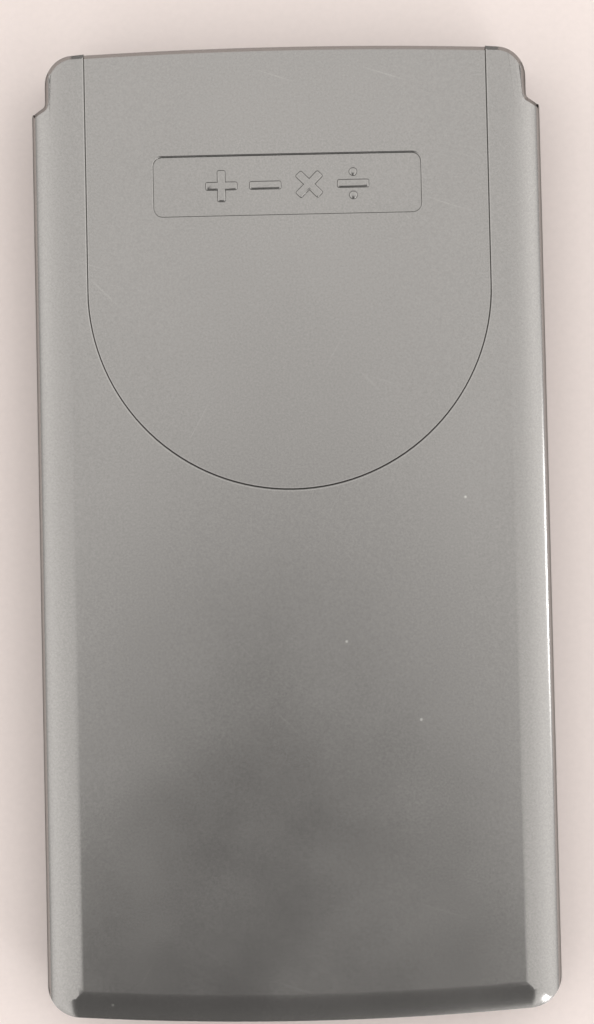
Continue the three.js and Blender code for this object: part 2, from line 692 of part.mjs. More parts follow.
function chipBlob() {
  const profile = [new THREE.Vector2(0, 0), new THREE.Vector2(CHIP_RADIUS, 0)];
  for (let i = 1; i <= 4; i++) {
    const a = (i * Math.PI) / 8;
    profile.push(new THREE.Vector2(CHIP_RADIUS * Math.cos(a) ** 0.6, CHIP_HEIGHT * Math.sin(a)));
  }
  profile[profile.length - 1].x = 0;
  const blob = new THREE.LatheGeometry(profile, 16).rotateX(-Math.PI / 2);
  return solid(blob.translate(0, (keypadHigh + displayLow) / 2 - CHIP_RADIUS, boardUnder - STACK_GAP));
}

const lcd = {
  width: displayWindow.width - 2 * WINDOW_LEDGE + 2 * LCD_BORDER,
  height: displayWindow.height - 2 * WINDOW_LEDGE + 2 * LCD_BORDER,
};
const solar = { width: SOLAR_WIDTH - SOLAR_LEDGE, height: SOLAR_HEIGHT - SOLAR_LEDGE };
const lcdTop = displayUnder - STACK_GAP;
const lcdUnder = lcdTop - LCD_THICK;

function panelBelow(window, width, height) {
  const x = [window.x - width / 2, window.x + width / 2];
  return box(x, [window.y - height / 2, window.y + height / 2], [lcdUnder, lcdTop]);
}

function lcdConnector() {
  const low = displayWindow.y - lcd.height / 2 + 1;
  const x = lcd.width / 2 - LCD_BORDER;
  return box([-x, x], [low, low + CONNECTOR], [boardTop + STACK_GAP, lcdUnder - STACK_GAP]);
}

const contactFoot = boardTop + STACK_GAP; // contacts are soldered on the board's upper face
const connectorHigh = displayWindow.y - lcd.height / 2 + 1 + CONNECTOR;
const contactLow = connectorHigh + STACK_GAP;

// A leaf from the board, up and over the cell's flat end.
function negativeContact() {
  const top = cellTop + STACK_GAP;
  const rise = cellY - CELL_RADIUS - 2;
  const x = [CELL_X - CONTACT_WIDTH / 2, CELL_X + CONTACT_WIDTH / 2];
  return union([
    box(x, [contactLow, rise + CONTACT], [contactFoot, contactFoot + CONTACT]),
    box(x, [rise, rise + CONTACT], [contactFoot, top + CONTACT]),
    box(x, [rise, cellY + 2], [top, top + CONTACT]),
  ]);
}

// A leaf from the board to the side of the cell's can.
function positiveContact() {
  const x = CELL_X + CELL_RADIUS + CELL_FIT;
  const y = [slotLow, slotLow + CONTACT_WIDTH];
  return union([
    box([x, x + CONTACT], y, [cellUnder + 1, contactFoot + CONTACT]),
    box([x, x + CONTACT_WIDTH], y, [contactFoot, contactFoot + CONTACT]),
    box([x + 1, x + CONTACT_WIDTH], [contactLow, y[1]], [contactFoot, contactFoot + CONTACT]),
  ]);
}

// ---- Assembly ----

place("slide_cover", slideCover(), coverPlastic);
place("front_case", frontCase(), frontPlastic);
place("rear_case", rearCase(), rearPlastic);
place("display_window", windowPane(displayWindow), clearPlastic);
place("solar_window", windowPane(solarWindow), clearPlastic);
place("lcd_panel", panelBelow(displayWindow, lcd.width, lcd.height), displayGlass);
place("solar_cell", panelBelow(solarWindow, solar.width, solar.height), solarGlass);
place("lcd_connector", lcdConnector(), elastomer);
place("keypad_mat", keypadMat(), siliconeRubber);
place("circuit_board", circuitBoard(), boardLaminate);
place("chip_blob", chipBlob(), epoxy);
place("battery_cell", rod(CELL_X, cellY, cellUnder, cellTop, CELL_RADIUS, CELL_RADIUS, 24), nickel);
place("battery_contact_positive", positiveContact(), nickel);
place("battery_contact_negative", negativeContact(), nickel);
place("battery_door", batteryDoor(), rearPlastic);
place("battery_door_screw", doorScrew(), steel);
screwPlaces.forEach(([x, y], i) => place(`case_screw_${i + 1}`, screw(x, y, SCREW_LENGTH), steel));

const redKeys = ["key_delete", "key_clear"];
for (const key of keys) {
  const colour = redKeys.includes(key.name) ? redKey : key.rise === MAIN_RISE ? paleKey : darkKey;
  place(key.name, keyCap(key), colour);
}

export default calculator;
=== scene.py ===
"""Pocket calculator in its slide-on hard cover: the looks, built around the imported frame."""

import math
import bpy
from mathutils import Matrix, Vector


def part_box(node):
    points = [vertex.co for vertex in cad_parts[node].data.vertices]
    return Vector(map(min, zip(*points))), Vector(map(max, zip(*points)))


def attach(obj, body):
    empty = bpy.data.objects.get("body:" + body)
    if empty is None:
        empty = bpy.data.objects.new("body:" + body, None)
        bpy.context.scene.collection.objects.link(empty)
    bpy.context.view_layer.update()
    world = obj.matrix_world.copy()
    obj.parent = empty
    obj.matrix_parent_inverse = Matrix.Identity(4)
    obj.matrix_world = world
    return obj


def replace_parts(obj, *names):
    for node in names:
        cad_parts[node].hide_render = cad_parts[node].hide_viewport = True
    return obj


bl_info = {
    "name": "Pocket calculator",
    "version": (1, 0, 0),
    "blender": (4, 5, 0),
    "location": "3D View > Sidebar > Calculator",
    "description": "Models a pocket calculator, its slide-on cover and a plain stage",
    "category": "Object",
}

import bmesh
import bpy
from bpy.props import FloatProperty, FloatVectorProperty, PointerProperty
from mathutils import Euler, Vector

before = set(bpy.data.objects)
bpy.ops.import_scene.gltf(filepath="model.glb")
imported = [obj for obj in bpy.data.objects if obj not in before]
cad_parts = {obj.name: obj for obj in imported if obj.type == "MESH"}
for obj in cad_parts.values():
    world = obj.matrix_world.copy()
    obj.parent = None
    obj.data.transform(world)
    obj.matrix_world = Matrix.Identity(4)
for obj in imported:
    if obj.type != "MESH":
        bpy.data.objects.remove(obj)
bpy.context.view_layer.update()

MM = 0.001
COVER_LOW, COVER_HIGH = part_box("slide_cover")
FRONT_LOW, FRONT_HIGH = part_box("front_case")
REAR_LOW, REAR_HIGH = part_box("rear_case")

# Solids that cut each other never share a plane: one stands a hair proud.
HAIR = 0.004 * MM

# Fixed by the frame's solids, which these pieces stand for.
RAIL_END = COVER_HIGH.y - 9.9 * MM
STEP = RAIL_END + 1.1 * MM
PARTING = 6.4 * MM
SEAM = 0.2 * MM
COVER_GAP = 0.3 * MM
COVER_WALL = COVER_HIGH.x - FRONT_HIGH.x - COVER_GAP
COVER_UNDER = COVER_HIGH.z - COVER_WALL
SHOULDER = 6 * MM
STEP_SLOPE = 1.25 * MM
CLOSED_CORNER = 5 * MM
PANEL_Y = COVER_HIGH.y - 22.5 * MM
PANEL_WIDTH = 43.2 * MM
PANEL_HEIGHT = 9.6 * MM
SIGN_CORNER = 0.34 * MM
LIP_REACH = 37.7 * MM
LIP_HEIGHT = 1.5 * MM
DECK_TOP = 11.0 * MM
DECK_UNDER = 9.4 * MM
DISPLAY_LOW = FRONT_HIGH.y - 44.7 * MM
SLOPE_RUN = 2.5 * MM
GROOVE_LOW = 5.4 * MM
GROOVE_HIGH = 7.4 * MM
GROOVE_DEPTH = 1.6 * MM
FLANGE = 0.9 * MM
FLANGE_THICK = 0.8 * MM
KEY_FIT = 0.3 * MM
KEY_CORNER = 1.6 * MM
INNER_HALF = 35.9 * MM
END_WALL = 1.6 * MM
DISPLAY_UNDER = 10.2 * MM
WINDOW_FIT = 0.2 * MM
SCREW_HOLE = 1.1 * MM
DOOR_FIT = 0.2 * MM
DISPLAY_LEDGE = 3.2 * MM
SOLAR_LEDGE = 1.6 * MM
CASE_SCREWS = [f"case_screw_{number}" for number in range(1, 5)]
END_BOW = {"high": 0.840, "low": 0.500}

# Each key's legend, and the second legend printed on the deck above it.
LEGENDS = {
    "key_shift": ("2nd", ""), "key_mode": ("MODE", ""), "key_setup": ("SET", ""), "key_on": ("ON", ""),
    "key_root": ("√", "³√"), "key_square": ("x²", "x³"), "key_power": ("xʸ", "ʸ√"),
    "key_log": ("log", "10ˣ"), "key_ln": ("ln", "eˣ"), "key_negate": ("(−)", "|x|"),
    "key_pi": ("π", "e"), "key_sin": ("sin", "sin⁻¹"), "key_cos": ("cos", "cos⁻¹"),
    "key_tan": ("tan", "tan⁻¹"), "key_memory": ("M+", "M−"), "key_recall": ("MR", "MC"),
    "key_open": ("(", ","), "key_close": (")", "x!"), "key_percent": ("%", "°"), "key_7": ("7", ""),
    "key_8": ("8", ""), "key_9": ("9", ""), "key_delete": ("DEL", ""), "key_clear": ("AC", ""),
    "key_4": ("4", ""), "key_5": ("5", ""), "key_6": ("6", ""), "key_times": ("×", ""),
    "key_divide": ("÷", ""), "key_1": ("1", ""), "key_2": ("2", ""), "key_3": ("3", ""),
    "key_plus": ("+", ""), "key_minus": ("−", ""), "key_0": ("0", ""), "key_point": ("·", ""),
    "key_exponent": ("EXP", ""), "key_answer": ("Ans", ""), "key_equals": ("=", ""),
}


def linear(hex_colour):
    """An sRGB hex colour as the linear values that a shader takes."""
    values = [int(hex_colour[i : i + 2], 16) / 255 for i in (1, 3, 5)]
    return [v / 12.92 if v <= 0.04045 else ((v + 0.055) / 1.055) ** 2.4 for v in values] + [1.0]


# ---- Working by hand ----


def extent(name):
    """A solid's low and high corners, its centre and its size."""
    low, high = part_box(name)
    return low, high, (low + high) / 2, high - low


def leave():
    """Leave edit mode."""
    bpy.ops.object.mode_set(mode="OBJECT")


def active(piece):
    """Make a piece the only selected object."""
    if bpy.context.mode != "OBJECT":
        leave()
    bpy.ops.object.select_all(action="DESELECT")
    piece.select_set(True)
    bpy.context.view_layer.objects.active = piece
    return piece


def settle(piece, name):
    """Name a new object and put its place into its mesh."""
    active(piece)
    bpy.ops.object.transform_apply(location=True, rotation=True, scale=True)
    piece.name = piece.data.name = name
    return piece


def block(name, low, high):
    """A box between two corners."""
    low, high = Vector(low), Vector(high)
    bpy.ops.object.select_all(action="DESELECT")
    bpy.ops.mesh.primitive_cube_add(size=1, location=(low + high) / 2, scale=high - low)
    return settle(bpy.context.object, name)


def rod(name, x, y, low, high, radius, sides):
    """An upright cylinder."""
    bpy.ops.object.select_all(action="DESELECT")
    bpy.ops.mesh.primitive_cylinder_add(
        vertices=sides, radius=radius, depth=high - low, location=(x, y, (low + high) / 2)
    )
    return settle(bpy.context.object, name)


def pick(piece, kind, test):
    """Enter edit mode with only those vertices, edges or faces selected that pass a test."""
    active(piece)
    bpy.ops.object.mode_set(mode="EDIT")
    bpy.ops.mesh.select_mode(type=kind)
    bpy.ops.mesh.select_all(action="DESELECT")
    form = bmesh.from_edit_mesh(piece.data)
    form.normal_update()
    parts = {"VERT": form.verts, "EDGE": form.edges, "FACE": form.faces}[kind]
    found = [part for part in parts if test(part)]
    for part in found:
        part.select_set(True)
    form.select_flush_mode()
    bmesh.update_edit_mesh(piece.data)
    if not found:
        raise RuntimeError(f"nothing to pick on {piece.name}")


def middle(edge):
    return (edge.verts[0].co + edge.verts[1].co) / 2


def along(edge):
    return (edge.verts[1].co - edge.verts[0].co).normalized()


def upright(edge):
    return abs(along(edge).z) > 0.9


def round_picked(width, segments, affect="EDGES"):
    """Round what is picked, and leave edit mode."""
    bpy.ops.mesh.bevel(offset=width, segments=segments, affect=affect, clamp_overlap=False)
    leave()


def draw_out(y, z):
    """Extrude what is picked along y and z."""
    bpy.ops.mesh.extrude_region_move(TRANSFORM_OT_translate={"value": (0, y, z)})


def plate(name, centre, width, height, corner, low, high, steps=6):
    """An upright plate with rounded corners: a plane, its corners rounded, drawn up to its thickness."""
    bpy.ops.object.select_all(action="DESELECT")
    bpy.ops.mesh.primitive_plane_add(size=1, location=(centre[0], centre[1], low))
    bpy.ops.transform.resize(value=(width, height, 1))
    piece = settle(bpy.context.object, name)
    if corner > 0:
        pick(piece, "VERT", lambda v: True)
        round_picked(corner, steps, affect="VERTICES")
    pick(piece, "FACE", lambda f: True)
    draw_out(0, high - low)
    leave()
    return outward(piece)


def outward(piece):
    """Turn a closed piece's faces outwards."""
    pick(piece, "FACE", lambda f: True)
    bpy.ops.mesh.normals_make_consistent(inside=False)
    leave()
    return piece


def apply_modifier(piece, kind, **settings):
    """Add a modifier with its settings and apply it."""
    active(piece)
    made = piece.modifiers.new(kind.title(), kind)
    for key, value in settings.items():
        setattr(made, key, value)
    bpy.ops.object.modifier_apply(modifier=made.name)


def cut(piece, *tools, operation="DIFFERENCE"):
    """Cut a piece with tools, or join or keep only what they share, and remove the tools."""
    for tool in tools:
        apply_modifier(piece, "BOOLEAN", object=tool, operation=operation, solver="EXACT")
        bpy.data.meshes.remove(tool.data)
    return piece


def joined(name, pieces):
    """Several objects made one."""
    active(pieces[0])
    for piece in pieces:
        piece.select_set(True)
    bpy.ops.object.join()
    return settle(bpy.context.object, name)


def bow_ends(piece, low_y, high_y):
    """Give a form's two ends the body's slight outward bow."""
    for vertex in piece.data.vertices:
        place = vertex.co
        if place.y > high_y - 6 * MM:
            place.y -= place.x**2 / (2 * END_BOW["high"])
        elif place.y < low_y + 6 * MM:
            place.y += place.x**2 / (2 * END_BOW["low"])


def slice_along_x(piece, places):
    """Cut a form's faces into strips, so that they can follow a curve across it."""
    for x in places:
        pick(piece, "FACE", lambda f: True)
        bpy.ops.mesh.bisect(plane_co=(x, 0, 0), plane_no=(1, 0, 0))
        leave()


def slice_along_y(piece, places, test):
    """Cut a form's long faces across, so that the shading of an end stays there."""
    for y in places:
        pick(piece, "FACE", test)
        bpy.ops.mesh.bisect(plane_co=(0, y, 0), plane_no=(0, 1, 0))
        leave()


def smooth(piece, angle=35):
    """Smooth shading that keeps real edges crisp and broad faces flat."""
    active(piece)
    bpy.ops.object.shade_smooth_by_angle(angle=math.radians(angle))
    apply_modifier(piece, "WEIGHTED_NORMAL", keep_sharp=True, weight=80)
    return piece


def finish_piece(piece, material, body, slot, *nodes):
    """Give a piece its material, its body and the solids that it stands for."""
    piece.data.materials.clear()
    piece.data.materials.append(material)
    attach(piece, body)
    if nodes:
        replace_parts(piece, *nodes)
    return piece


# ---- Materials ----


def put(tree, made, sockets):
    """Set a node's sockets to values, or link them."""
    for key, value in sockets.items():
        if isinstance(value, bpy.types.NodeSocket):
            tree.links.new(value, made.inputs[key])
        else:
            made.inputs[key].default_value = value


def node(tree, kind, sockets, out=None, **settings):
    """Add a node with its settings, fill its sockets, and give back the node or one of its outputs."""
    made = tree.nodes.new(f"ShaderNode{kind}")
    for key, value in settings.items():
        setattr(made, key, value)
    put(tree, made, sockets)
    return made.outputs[out] if out else made


def ramp(start, stop, low, high):
    """The ends of a range and of what it is turned into, as sockets."""
    return {"From Min": start, "From Max": stop, "To Min": low, "To Max": high}


def varied(tree, place, noise, low, high, start=0.3, stop=0.7):
    """Noise over a place, both plain and drawn between two values."""
    plain = node(tree, "TexNoise", {"Vector": place, **noise}, "Fac")
    return plain, node(tree, "MapRange", {"Value": plain, **ramp(start, stop, low, high)}, "Result")


def new_material(name):
    """An empty material with its shader, and coordinates in millimetres."""
    material = bpy.data.materials.new(name)
    material.use_nodes = True
    tree = material.node_tree
    tree.nodes.clear()
    shader = node(tree, "BsdfPrincipled", {})
    node(tree, "OutputMaterial", {"Surface": shader.outputs["BSDF"]})
    place = node(tree, "TexCoord", {}, "Object")
    in_mm = node(tree, "VectorMath", {0: place, 1: (1000, 1000, 1000)}, "Vector", operation="MULTIPLY")
    return material, tree, shader, in_mm


def moulded_plastic(name, ground, roughness, grain_mm, grain_depth):
    """Moulded ABS with a spark-eroded grain: an even colour and fine pits, a little duller between them."""
    material, tree, shader, in_mm = new_material(name)
    pits = {"Scale": 1 / grain_mm, "Detail": 3.0, "Roughness": 0.6}
    grain, dull = varied(tree, in_mm, pits, roughness - 0.06, roughness + 0.06)
    _, tint = varied(tree, in_mm, {"Scale": 0.06, "Detail": 2.0}, 0.94, 1.06)
    colour = node(tree, "VectorMath", {0: ground, "Scale": tint}, "Vector", operation="SCALE")
    bump = node(tree, "Bump", {"Height": grain, "Strength": 0.5, "Distance": grain_depth * MM}, "Normal")
    put(tree, shader, {"Base Color": colour, "Roughness": dull, "Normal": bump})
    return material


def satin_cover_plastic(name, settings):
    """Moulded ABS with metal flake: a grey ground with a faint glitter, mirroring its surroundings softly.

    Years in a bag show as hair-fine scratches, a few pale nicks and slightly polished patches.
    """
    material, tree, shader, in_mm = new_material(name)
    # Flake and grain are near 0.1 mm, too fine to show, and are drawn three times as coarse.
    flake, shade = varied(tree, in_mm, {"Scale": 3.0, "Detail": 2.0, "Roughness": 0.7}, 0.93, 1.07)
    rough = settings.cover_roughness
    patches = {"Scale": 0.045, "Detail": 3.0, "Roughness": 0.5}
    _, dull = varied(tree, in_mm, patches, rough - 0.03, rough + 0.03)
    # Nicks: pale specks about 0.4 mm across, one every few square centimetres.
    cell = node(tree, "TexVoronoi", {"Vector": in_mm, "Scale": 0.09, "Randomness": 1.0}, "Distance")
    worn = node(tree, "MapRange", {"Value": cell, **ramp(0.012, 0.03, 1.0, 0.0)}, "Result")
    # Hair scratches, 8 to 25 mm long and about 0.15 mm wide, running three ways.
    hair = {"Scale": 1.0, "Detail": 0.0, "Distortion": 0.3}
    ways = (0.5, 1.5, 0.050, 3.0), (-0.8, 1.3, 0.070, 11.0), (1.9, 1.7, 0.060, 23.0)
    for angle, cross, reach, offset in ways:
        about = {"Vector": in_mm, "Angle": angle}
        turned = node(tree, "VectorRotate", about, "Vector", rotation_type="Z_AXIS")
        stretch = {"Location": (offset, offset, 0), "Scale": (cross, reach, 0.01)}
        drawn = node(tree, "Mapping", {"Vector": turned, **stretch}, "Vector")
        _, thin = varied(tree, drawn, hair, 0.0, 0.16, 0.82, 0.92)
        worn = node(tree, "Math", {0: worn, 1: thin}, "Value", operation="MAXIMUM")
    ground = node(tree, "VectorMath", {0: settings.cover_colour, "Scale": shade}, "Vector", operation="SCALE")
    marked = {"Factor": worn, "A": ground, "B": linear("#C9C8C4")}
    colour = node(tree, "Mix", marked, "Result", data_type="RGBA")
    bump = node(tree, "Bump", {"Height": flake, "Strength": 0.25, "Distance": 0.004 * MM}, "Normal")
    metal = {"Metallic": 0.95, "Specular Tint": linear("#A0A0A0")}
    put(tree, shader, {"Base Color": colour, "Roughness": dull, "Normal": bump, **metal})
    return material


def printed_ink(name, hex_colour):
    """Pad-printed ink: opaque and matt, a little uneven where the pad left less of it."""
    material, tree, shader, in_mm = new_material(name)
    _, shade = varied(tree, in_mm, {"Scale": 2.2, "Detail": 2.0}, 0.93, 1.05)
    ink = {0: linear(hex_colour)[:3], "Scale": shade}
    colour = node(tree, "VectorMath", ink, "Vector", operation="SCALE")
    put(tree, shader, {"Base Color": colour, "Roughness": 0.5})
    return material


def polished_acrylic(name):
    """Cast acrylic, polished: clear, with a sharp gloss that a few wiping marks soften."""
    material, tree, shader, in_mm = new_material(name)
    wiped = node(tree, "Mapping", {"Vector": in_mm, "Scale": (0.6, 0.05, 0.1)}, "Vector")
    _, dull = varied(tree, wiped, {"Scale": 1.0, "Detail": 4.0}, 0.02, 0.09, 0.45, 0.75)
    clear = {"Base Color": linear("#F4F7F5"), "IOR": 1.49, "Transmission Weight": 1.0}
    put(tree, shader, {"Roughness": dull, **clear})
    return material


def display_glass(name, settings):
    """Twisted-nematic glass over a reflector: grey green with a fine sparkle, under a smooth polariser."""
    material, tree, shader, in_mm = new_material(name)
    _, shade = varied(tree, in_mm, {"Scale": 4.0, "Detail": 2.0, "Roughness": 0.7}, 0.94, 1.06)
    ground = {0: settings.display_colour, "Scale": shade}
    colour = node(tree, "VectorMath", ground, "Vector", operation="SCALE")
    put(tree, shader, {"Base Color": colour, "Roughness": 0.3, "Coat Weight": 0.5, "Coat Roughness": 0.08})
    return material


def thin_film_cell(name, centre_x):
    """Amorphous silicon on glass: dark red brown, parted into cells by fine pale lines 17.2 mm apart."""
    material, tree, shader, in_mm = new_material(name)
    x = node(tree, "SeparateXYZ", {"Vector": in_mm}, "X")
    from_centre = node(tree, "Math", {0: x, 1: centre_x / MM}, "Value", operation="SUBTRACT")
    # The distance to the nearest line: it rises and falls again over 17.2 mm.
    pitch = node(tree, "Math", {0: from_centre, 1: 8.6}, "Value", operation="PINGPONG")
    line = node(tree, "Math", {0: pitch, 1: 0.16}, "Value", operation="LESS_THAN")
    film = node(tree, "TexNoise", {"Vector": in_mm, "Scale": 0.12, "Detail": 2.0}, "Fac")
    browns = {"Factor": film, "A": linear("#2A1516"), "B": linear("#33201F")}
    tint = node(tree, "Mix", browns, "Result", data_type="RGBA")
    lined = {"Factor": line, "A": tint, "B": linear("#8C8580")}
    colour = node(tree, "Mix", lined, "Result", data_type="RGBA")
    put(tree, shader, {"Base Color": colour, "Roughness": 0.12})
    return material


def machined_metal(name, hex_colour, roughness):
    """Plated steel: a clear grey mirror, softened by fine drawing marks."""
    material, tree, shader, in_mm = new_material(name)
    drawn = node(tree, "Mapping", {"Vector": in_mm, "Scale": (6.0, 0.8, 6.0)}, "Vector")
    marks, dull = varied(tree, drawn, {"Scale": 1.0, "Detail": 3.0}, roughness - 0.08, roughness + 0.08)
    bump = node(tree, "Bump", {"Height": marks, "Strength": 0.2, "Distance": 0.01 * MM}, "Normal")
    metal = {"Base Color": linear(hex_colour), "Metallic": 1.0}
    put(tree, shader, {"Roughness": dull, "Normal": bump, **metal})
    return material


def silicone_mat(name):
    """Silicone rubber: matt pale grey, faintly cloudy, with a dusty bloom."""
    material, tree, shader, in_mm = new_material(name)
    cloud = node(tree, "TexNoise", {"Vector": in_mm, "Scale": 0.25, "Detail": 4.0}, "Fac")
    greys = {"Factor": cloud, "A": linear("#858A8F"), "B": linear("#999DA1")}
    colour = node(tree, "Mix", greys, "Result", data_type="RGBA")
    put(tree, shader, {"Base Color": colour, "Roughness": 0.72, "Sheen Weight": 0.15})
    return material


def solder_mask(name):
    """Glass-fibre board under green solder mask: glossy, with paler tracks 1.2 mm apart below the lacquer."""
    material, tree, shader, in_mm = new_material(name)
    winding = {"Scale": 0.26, "Distortion": 6.0, "Detail": 1.0, "Detail Scale": 0.3}
    lanes = node(tree, "TexWave", {"Vector": in_mm, **winding}, "Fac")
    track = node(tree, "MapRange", {"Value": lanes, **ramp(0.55, 0.62, 0.0, 1.0)}, "Result")
    greens = {"Factor": track, "A": linear("#1F5738"), "B": linear("#2F7A4C")}
    colour = node(tree, "Mix", greens, "Result", data_type="RGBA")
    bump = node(tree, "Bump", {"Height": track, "Strength": 0.4, "Distance": 0.035 * MM}, "Normal")
    put(tree, shader, {"Base Color": colour, "Roughness": 0.28, "Normal": bump})
    return material


def poured_epoxy(name):
    """Poured epoxy: glossy black with the soft ripples of its setting."""
    material, tree, shader, in_mm = new_material(name)
    ripple = node(tree, "TexNoise", {"Vector": in_mm, "Scale": 0.5, "Detail": 1.0}, "Fac")
    bump = node(tree, "Bump", {"Height": ripple, "Strength": 0.3, "Distance": 0.1 * MM}, "Normal")
    put(tree, shader, {"Base Color": linear("#141414"), "Roughness": 0.2, "Normal": bump})
    return material


def striped_elastomer(name):
    """Zebra strip: layers of carbon-filled and clear silicone, 0.1 mm thick but drawn 0.5 mm to show."""
    material, tree, shader, in_mm = new_material(name)
    x = node(tree, "SeparateXYZ", {"Vector": in_mm}, "X")
    layer = node(tree, "Math", {0: x, 1: 0.5}, "Value", operation="PINGPONG")
    dark = node(tree, "Math", {0: layer, 1: 0.25}, "Value", operation="LESS_THAN")
    stripes = {"Factor": dark, "A": linear("#8A6F70"), "B": linear("#232325")}
    colour = node(tree, "Mix", stripes, "Result", data_type="RGBA")
    put(tree, shader, {"Base Color": colour, "Roughness": 0.7})
    return material


def laminate(name, settings):
    """Pale laminate table top: an even warm white with a fine pearl grain and a low sheen."""
    material, tree, shader, in_mm = new_material(name)
    grain = node(tree, "TexNoise", {"Vector": in_mm, "Scale": 0.9, "Detail": 3.0, "Roughness": 0.6}, "Fac")
    cloud = node(tree, "TexNoise", {"Vector": in_mm, "Scale": 0.008, "Detail": 2.0}, "Fac")
    mixed = node(tree, "Math", {0: grain, 1: cloud}, "Value", operation="ADD")
    shade = node(tree, "MapRange", {"Value": mixed, **ramp(0.7, 1.3, 0.975, 1.025)}, "Result")
    colour = node(tree, "VectorMath", {0: settings.table_colour, "Scale": shade}, "Vector", operation="SCALE")
    bump = node(tree, "Bump", {"Height": grain, "Strength": 0.15, "Distance": 0.02 * MM}, "Normal")
    put(tree, shader, {"Base Color": colour, "Roughness": 0.55, "Normal": bump})
    return material


def room_light(tree, settings):
    """A bright even room with a soft dark shape overhead, where someone leans over the table."""
    tree.nodes.clear()
    place = node(tree, "TexCoord", {}, "Generated")
    axis = node(tree, "SeparateXYZ", {"Vector": place}).outputs
    height = node(tree, "Math", {0: axis["Z"], 1: 0.05}, "Value", operation="MAXIMUM")
    over = node(tree, "CombineXYZ", {"Z": 0.0})
    for name in ("X", "Y"):
        slope = node(tree, "Math", {0: axis[name], 1: height}, "Value", operation="DIVIDE")
        put(tree, over, {name: slope})
    # The dark shape: a leaning ellipse in the slopes of the view upwards, reaching away from the open end.
    ellipse = {
        "Location": (-0.172, -2.471, 0.0),
        "Rotation": (0.0, 0.0, math.radians(-3.9)),
        "Scale": (0.512, 2.65, 1.0),
    }
    moved = {"Vector": over.outputs["Vector"], **ellipse}
    scaled = node(tree, "Mapping", moved, "Vector", vector_type="TEXTURE")
    reach = node(tree, "VectorMath", {0: scaled}, "Value", operation="LENGTH")
    edge = {"Value": reach, **ramp(0.922, 0.978, 0.13, 1.0)}
    dark = node(tree, "MapRange", edge, "Result", interpolation_type="SMOOTHSTEP")
    strength = node(tree, "Math", {0: dark, 1: settings.sky}, "Value", operation="MULTIPLY")
    # Brighter towards the walls and dim at their foot; a dark wall past the open end, a bright one at a side.
    for name, ends in (
        ("Z", (0.5, 0.95, 1.25, 1.0)),
        ("Z", (0.0, 0.45, 0.3, 1.0)),
        ("Y", (0.55, 0.85, 1.0, 0.55)),
        ("X", (0.4, 0.8, 1.0, 1.1)),
    ):
        part = node(tree, "MapRange", {"Value": axis[name], **ramp(*ends)}, "Result")
        strength = node(tree, "Math", {0: strength, 1: part}, "Value", operation="MULTIPLY")
    air = node(tree, "Background", {"Color": linear("#FFFDFA"), "Strength": strength}, "Background")
    node(tree, "OutputWorld", {"Surface": air})


# ---- Sizes and colours that a user may change ----


class CoverSettings(bpy.types.PropertyGroup):
    """The slide-on cover's roundings, recesses and finish."""

    crown: FloatProperty(
        name="Crown", description="Rise of the face across its width", default=0.4 * MM, unit="LENGTH"
    )
    shoulder: FloatProperty(
        name="Shoulder", description="Radius of the long sloped shoulders", default=9 * MM, unit="LENGTH"
    )
    side_edge: FloatProperty(
        name="Side edge", description="Rounding between shoulder and side", default=0.8 * MM, unit="LENGTH"
    )
    end_roll: FloatProperty(
        name="End slope", description="Width of the closed end's slope", default=4.5 * MM, unit="LENGTH"
    )
    end_radius: FloatProperty(
        name="End radius", description="Radius of the slope at the closed end", default=8 * MM, unit="LENGTH"
    )
    rim: FloatProperty(
        name="Rim", description="Slope of the rim round the tongue", default=0.7 * MM, unit="LENGTH"
    )
    recess_width: FloatProperty(
        name="Thumb recess width", description="Width of the shallow recess", default=65 * MM, unit="LENGTH"
    )
    recess_straight: FloatProperty(
        name="Thumb recess reach",
        description="Open end to the centre of its round end",
        default=39.3 * MM,
        unit="LENGTH",
    )
    recess_depth: FloatProperty(
        name="Thumb recess depth", description="Depth of the shallow recess", default=0.5 * MM, unit="LENGTH"
    )
    panel_depth: FloatProperty(
        name="Panel depth", description="Depth of the recessed name panel", default=0.4 * MM, unit="LENGTH"
    )
    cover_colour: FloatVectorProperty(
        name="Colour", description="Metal-flake grey", subtype="COLOR", default=linear("#9E9C9A")[:3]
    )
    cover_roughness: FloatProperty(
        name="Roughness", description="How softly it mirrors", default=0.18, min=0, max=1, subtype="FACTOR"
    )


class BodySettings(bpy.types.PropertyGroup):
    """The body's corners, edges and colours."""

    corner: FloatProperty(name="Corner", description="Radius from above", default=4.5 * MM, unit="LENGTH")
    edge: FloatProperty(name="Edge", description="Outer rounding", default=1.5 * MM, unit="LENGTH")
    front_colour: FloatVectorProperty(
        name="Front colour", description="Front case plastic", subtype="COLOR", default=linear("#3B3E43")[:3]
    )
    rear_colour: FloatVectorProperty(
        name="Rear colour", description="Rear case plastic", subtype="COLOR", default=linear("#34363A")[:3]
    )
    display_colour: FloatVectorProperty(
        name="Display colour", description="Display at rest", subtype="COLOR", default=linear("#9AA594")[:3]
    )


class KeySettings(bpy.types.PropertyGroup):
    """The keys' edges, dish and colours."""

    edge: FloatProperty(name="Edge", description="Rounding of a key's top", default=0.5 * MM, unit="LENGTH")
    dish: FloatProperty(name="Dish", description="Depth of a key's dish", default=0.25 * MM, unit="LENGTH")
    pale_colour: FloatVectorProperty(
        name="Pale keys", description="Number keys", subtype="COLOR", default=linear("#B9BCC0")[:3]
    )
    dark_colour: FloatVectorProperty(
        name="Dark keys", description="Function keys", subtype="COLOR", default=linear("#26282C")[:3]
    )
    red_colour: FloatVectorProperty(
        name="Red keys", description="Delete and clear keys", subtype="COLOR", default=linear("#A8463A")[:3]
    )


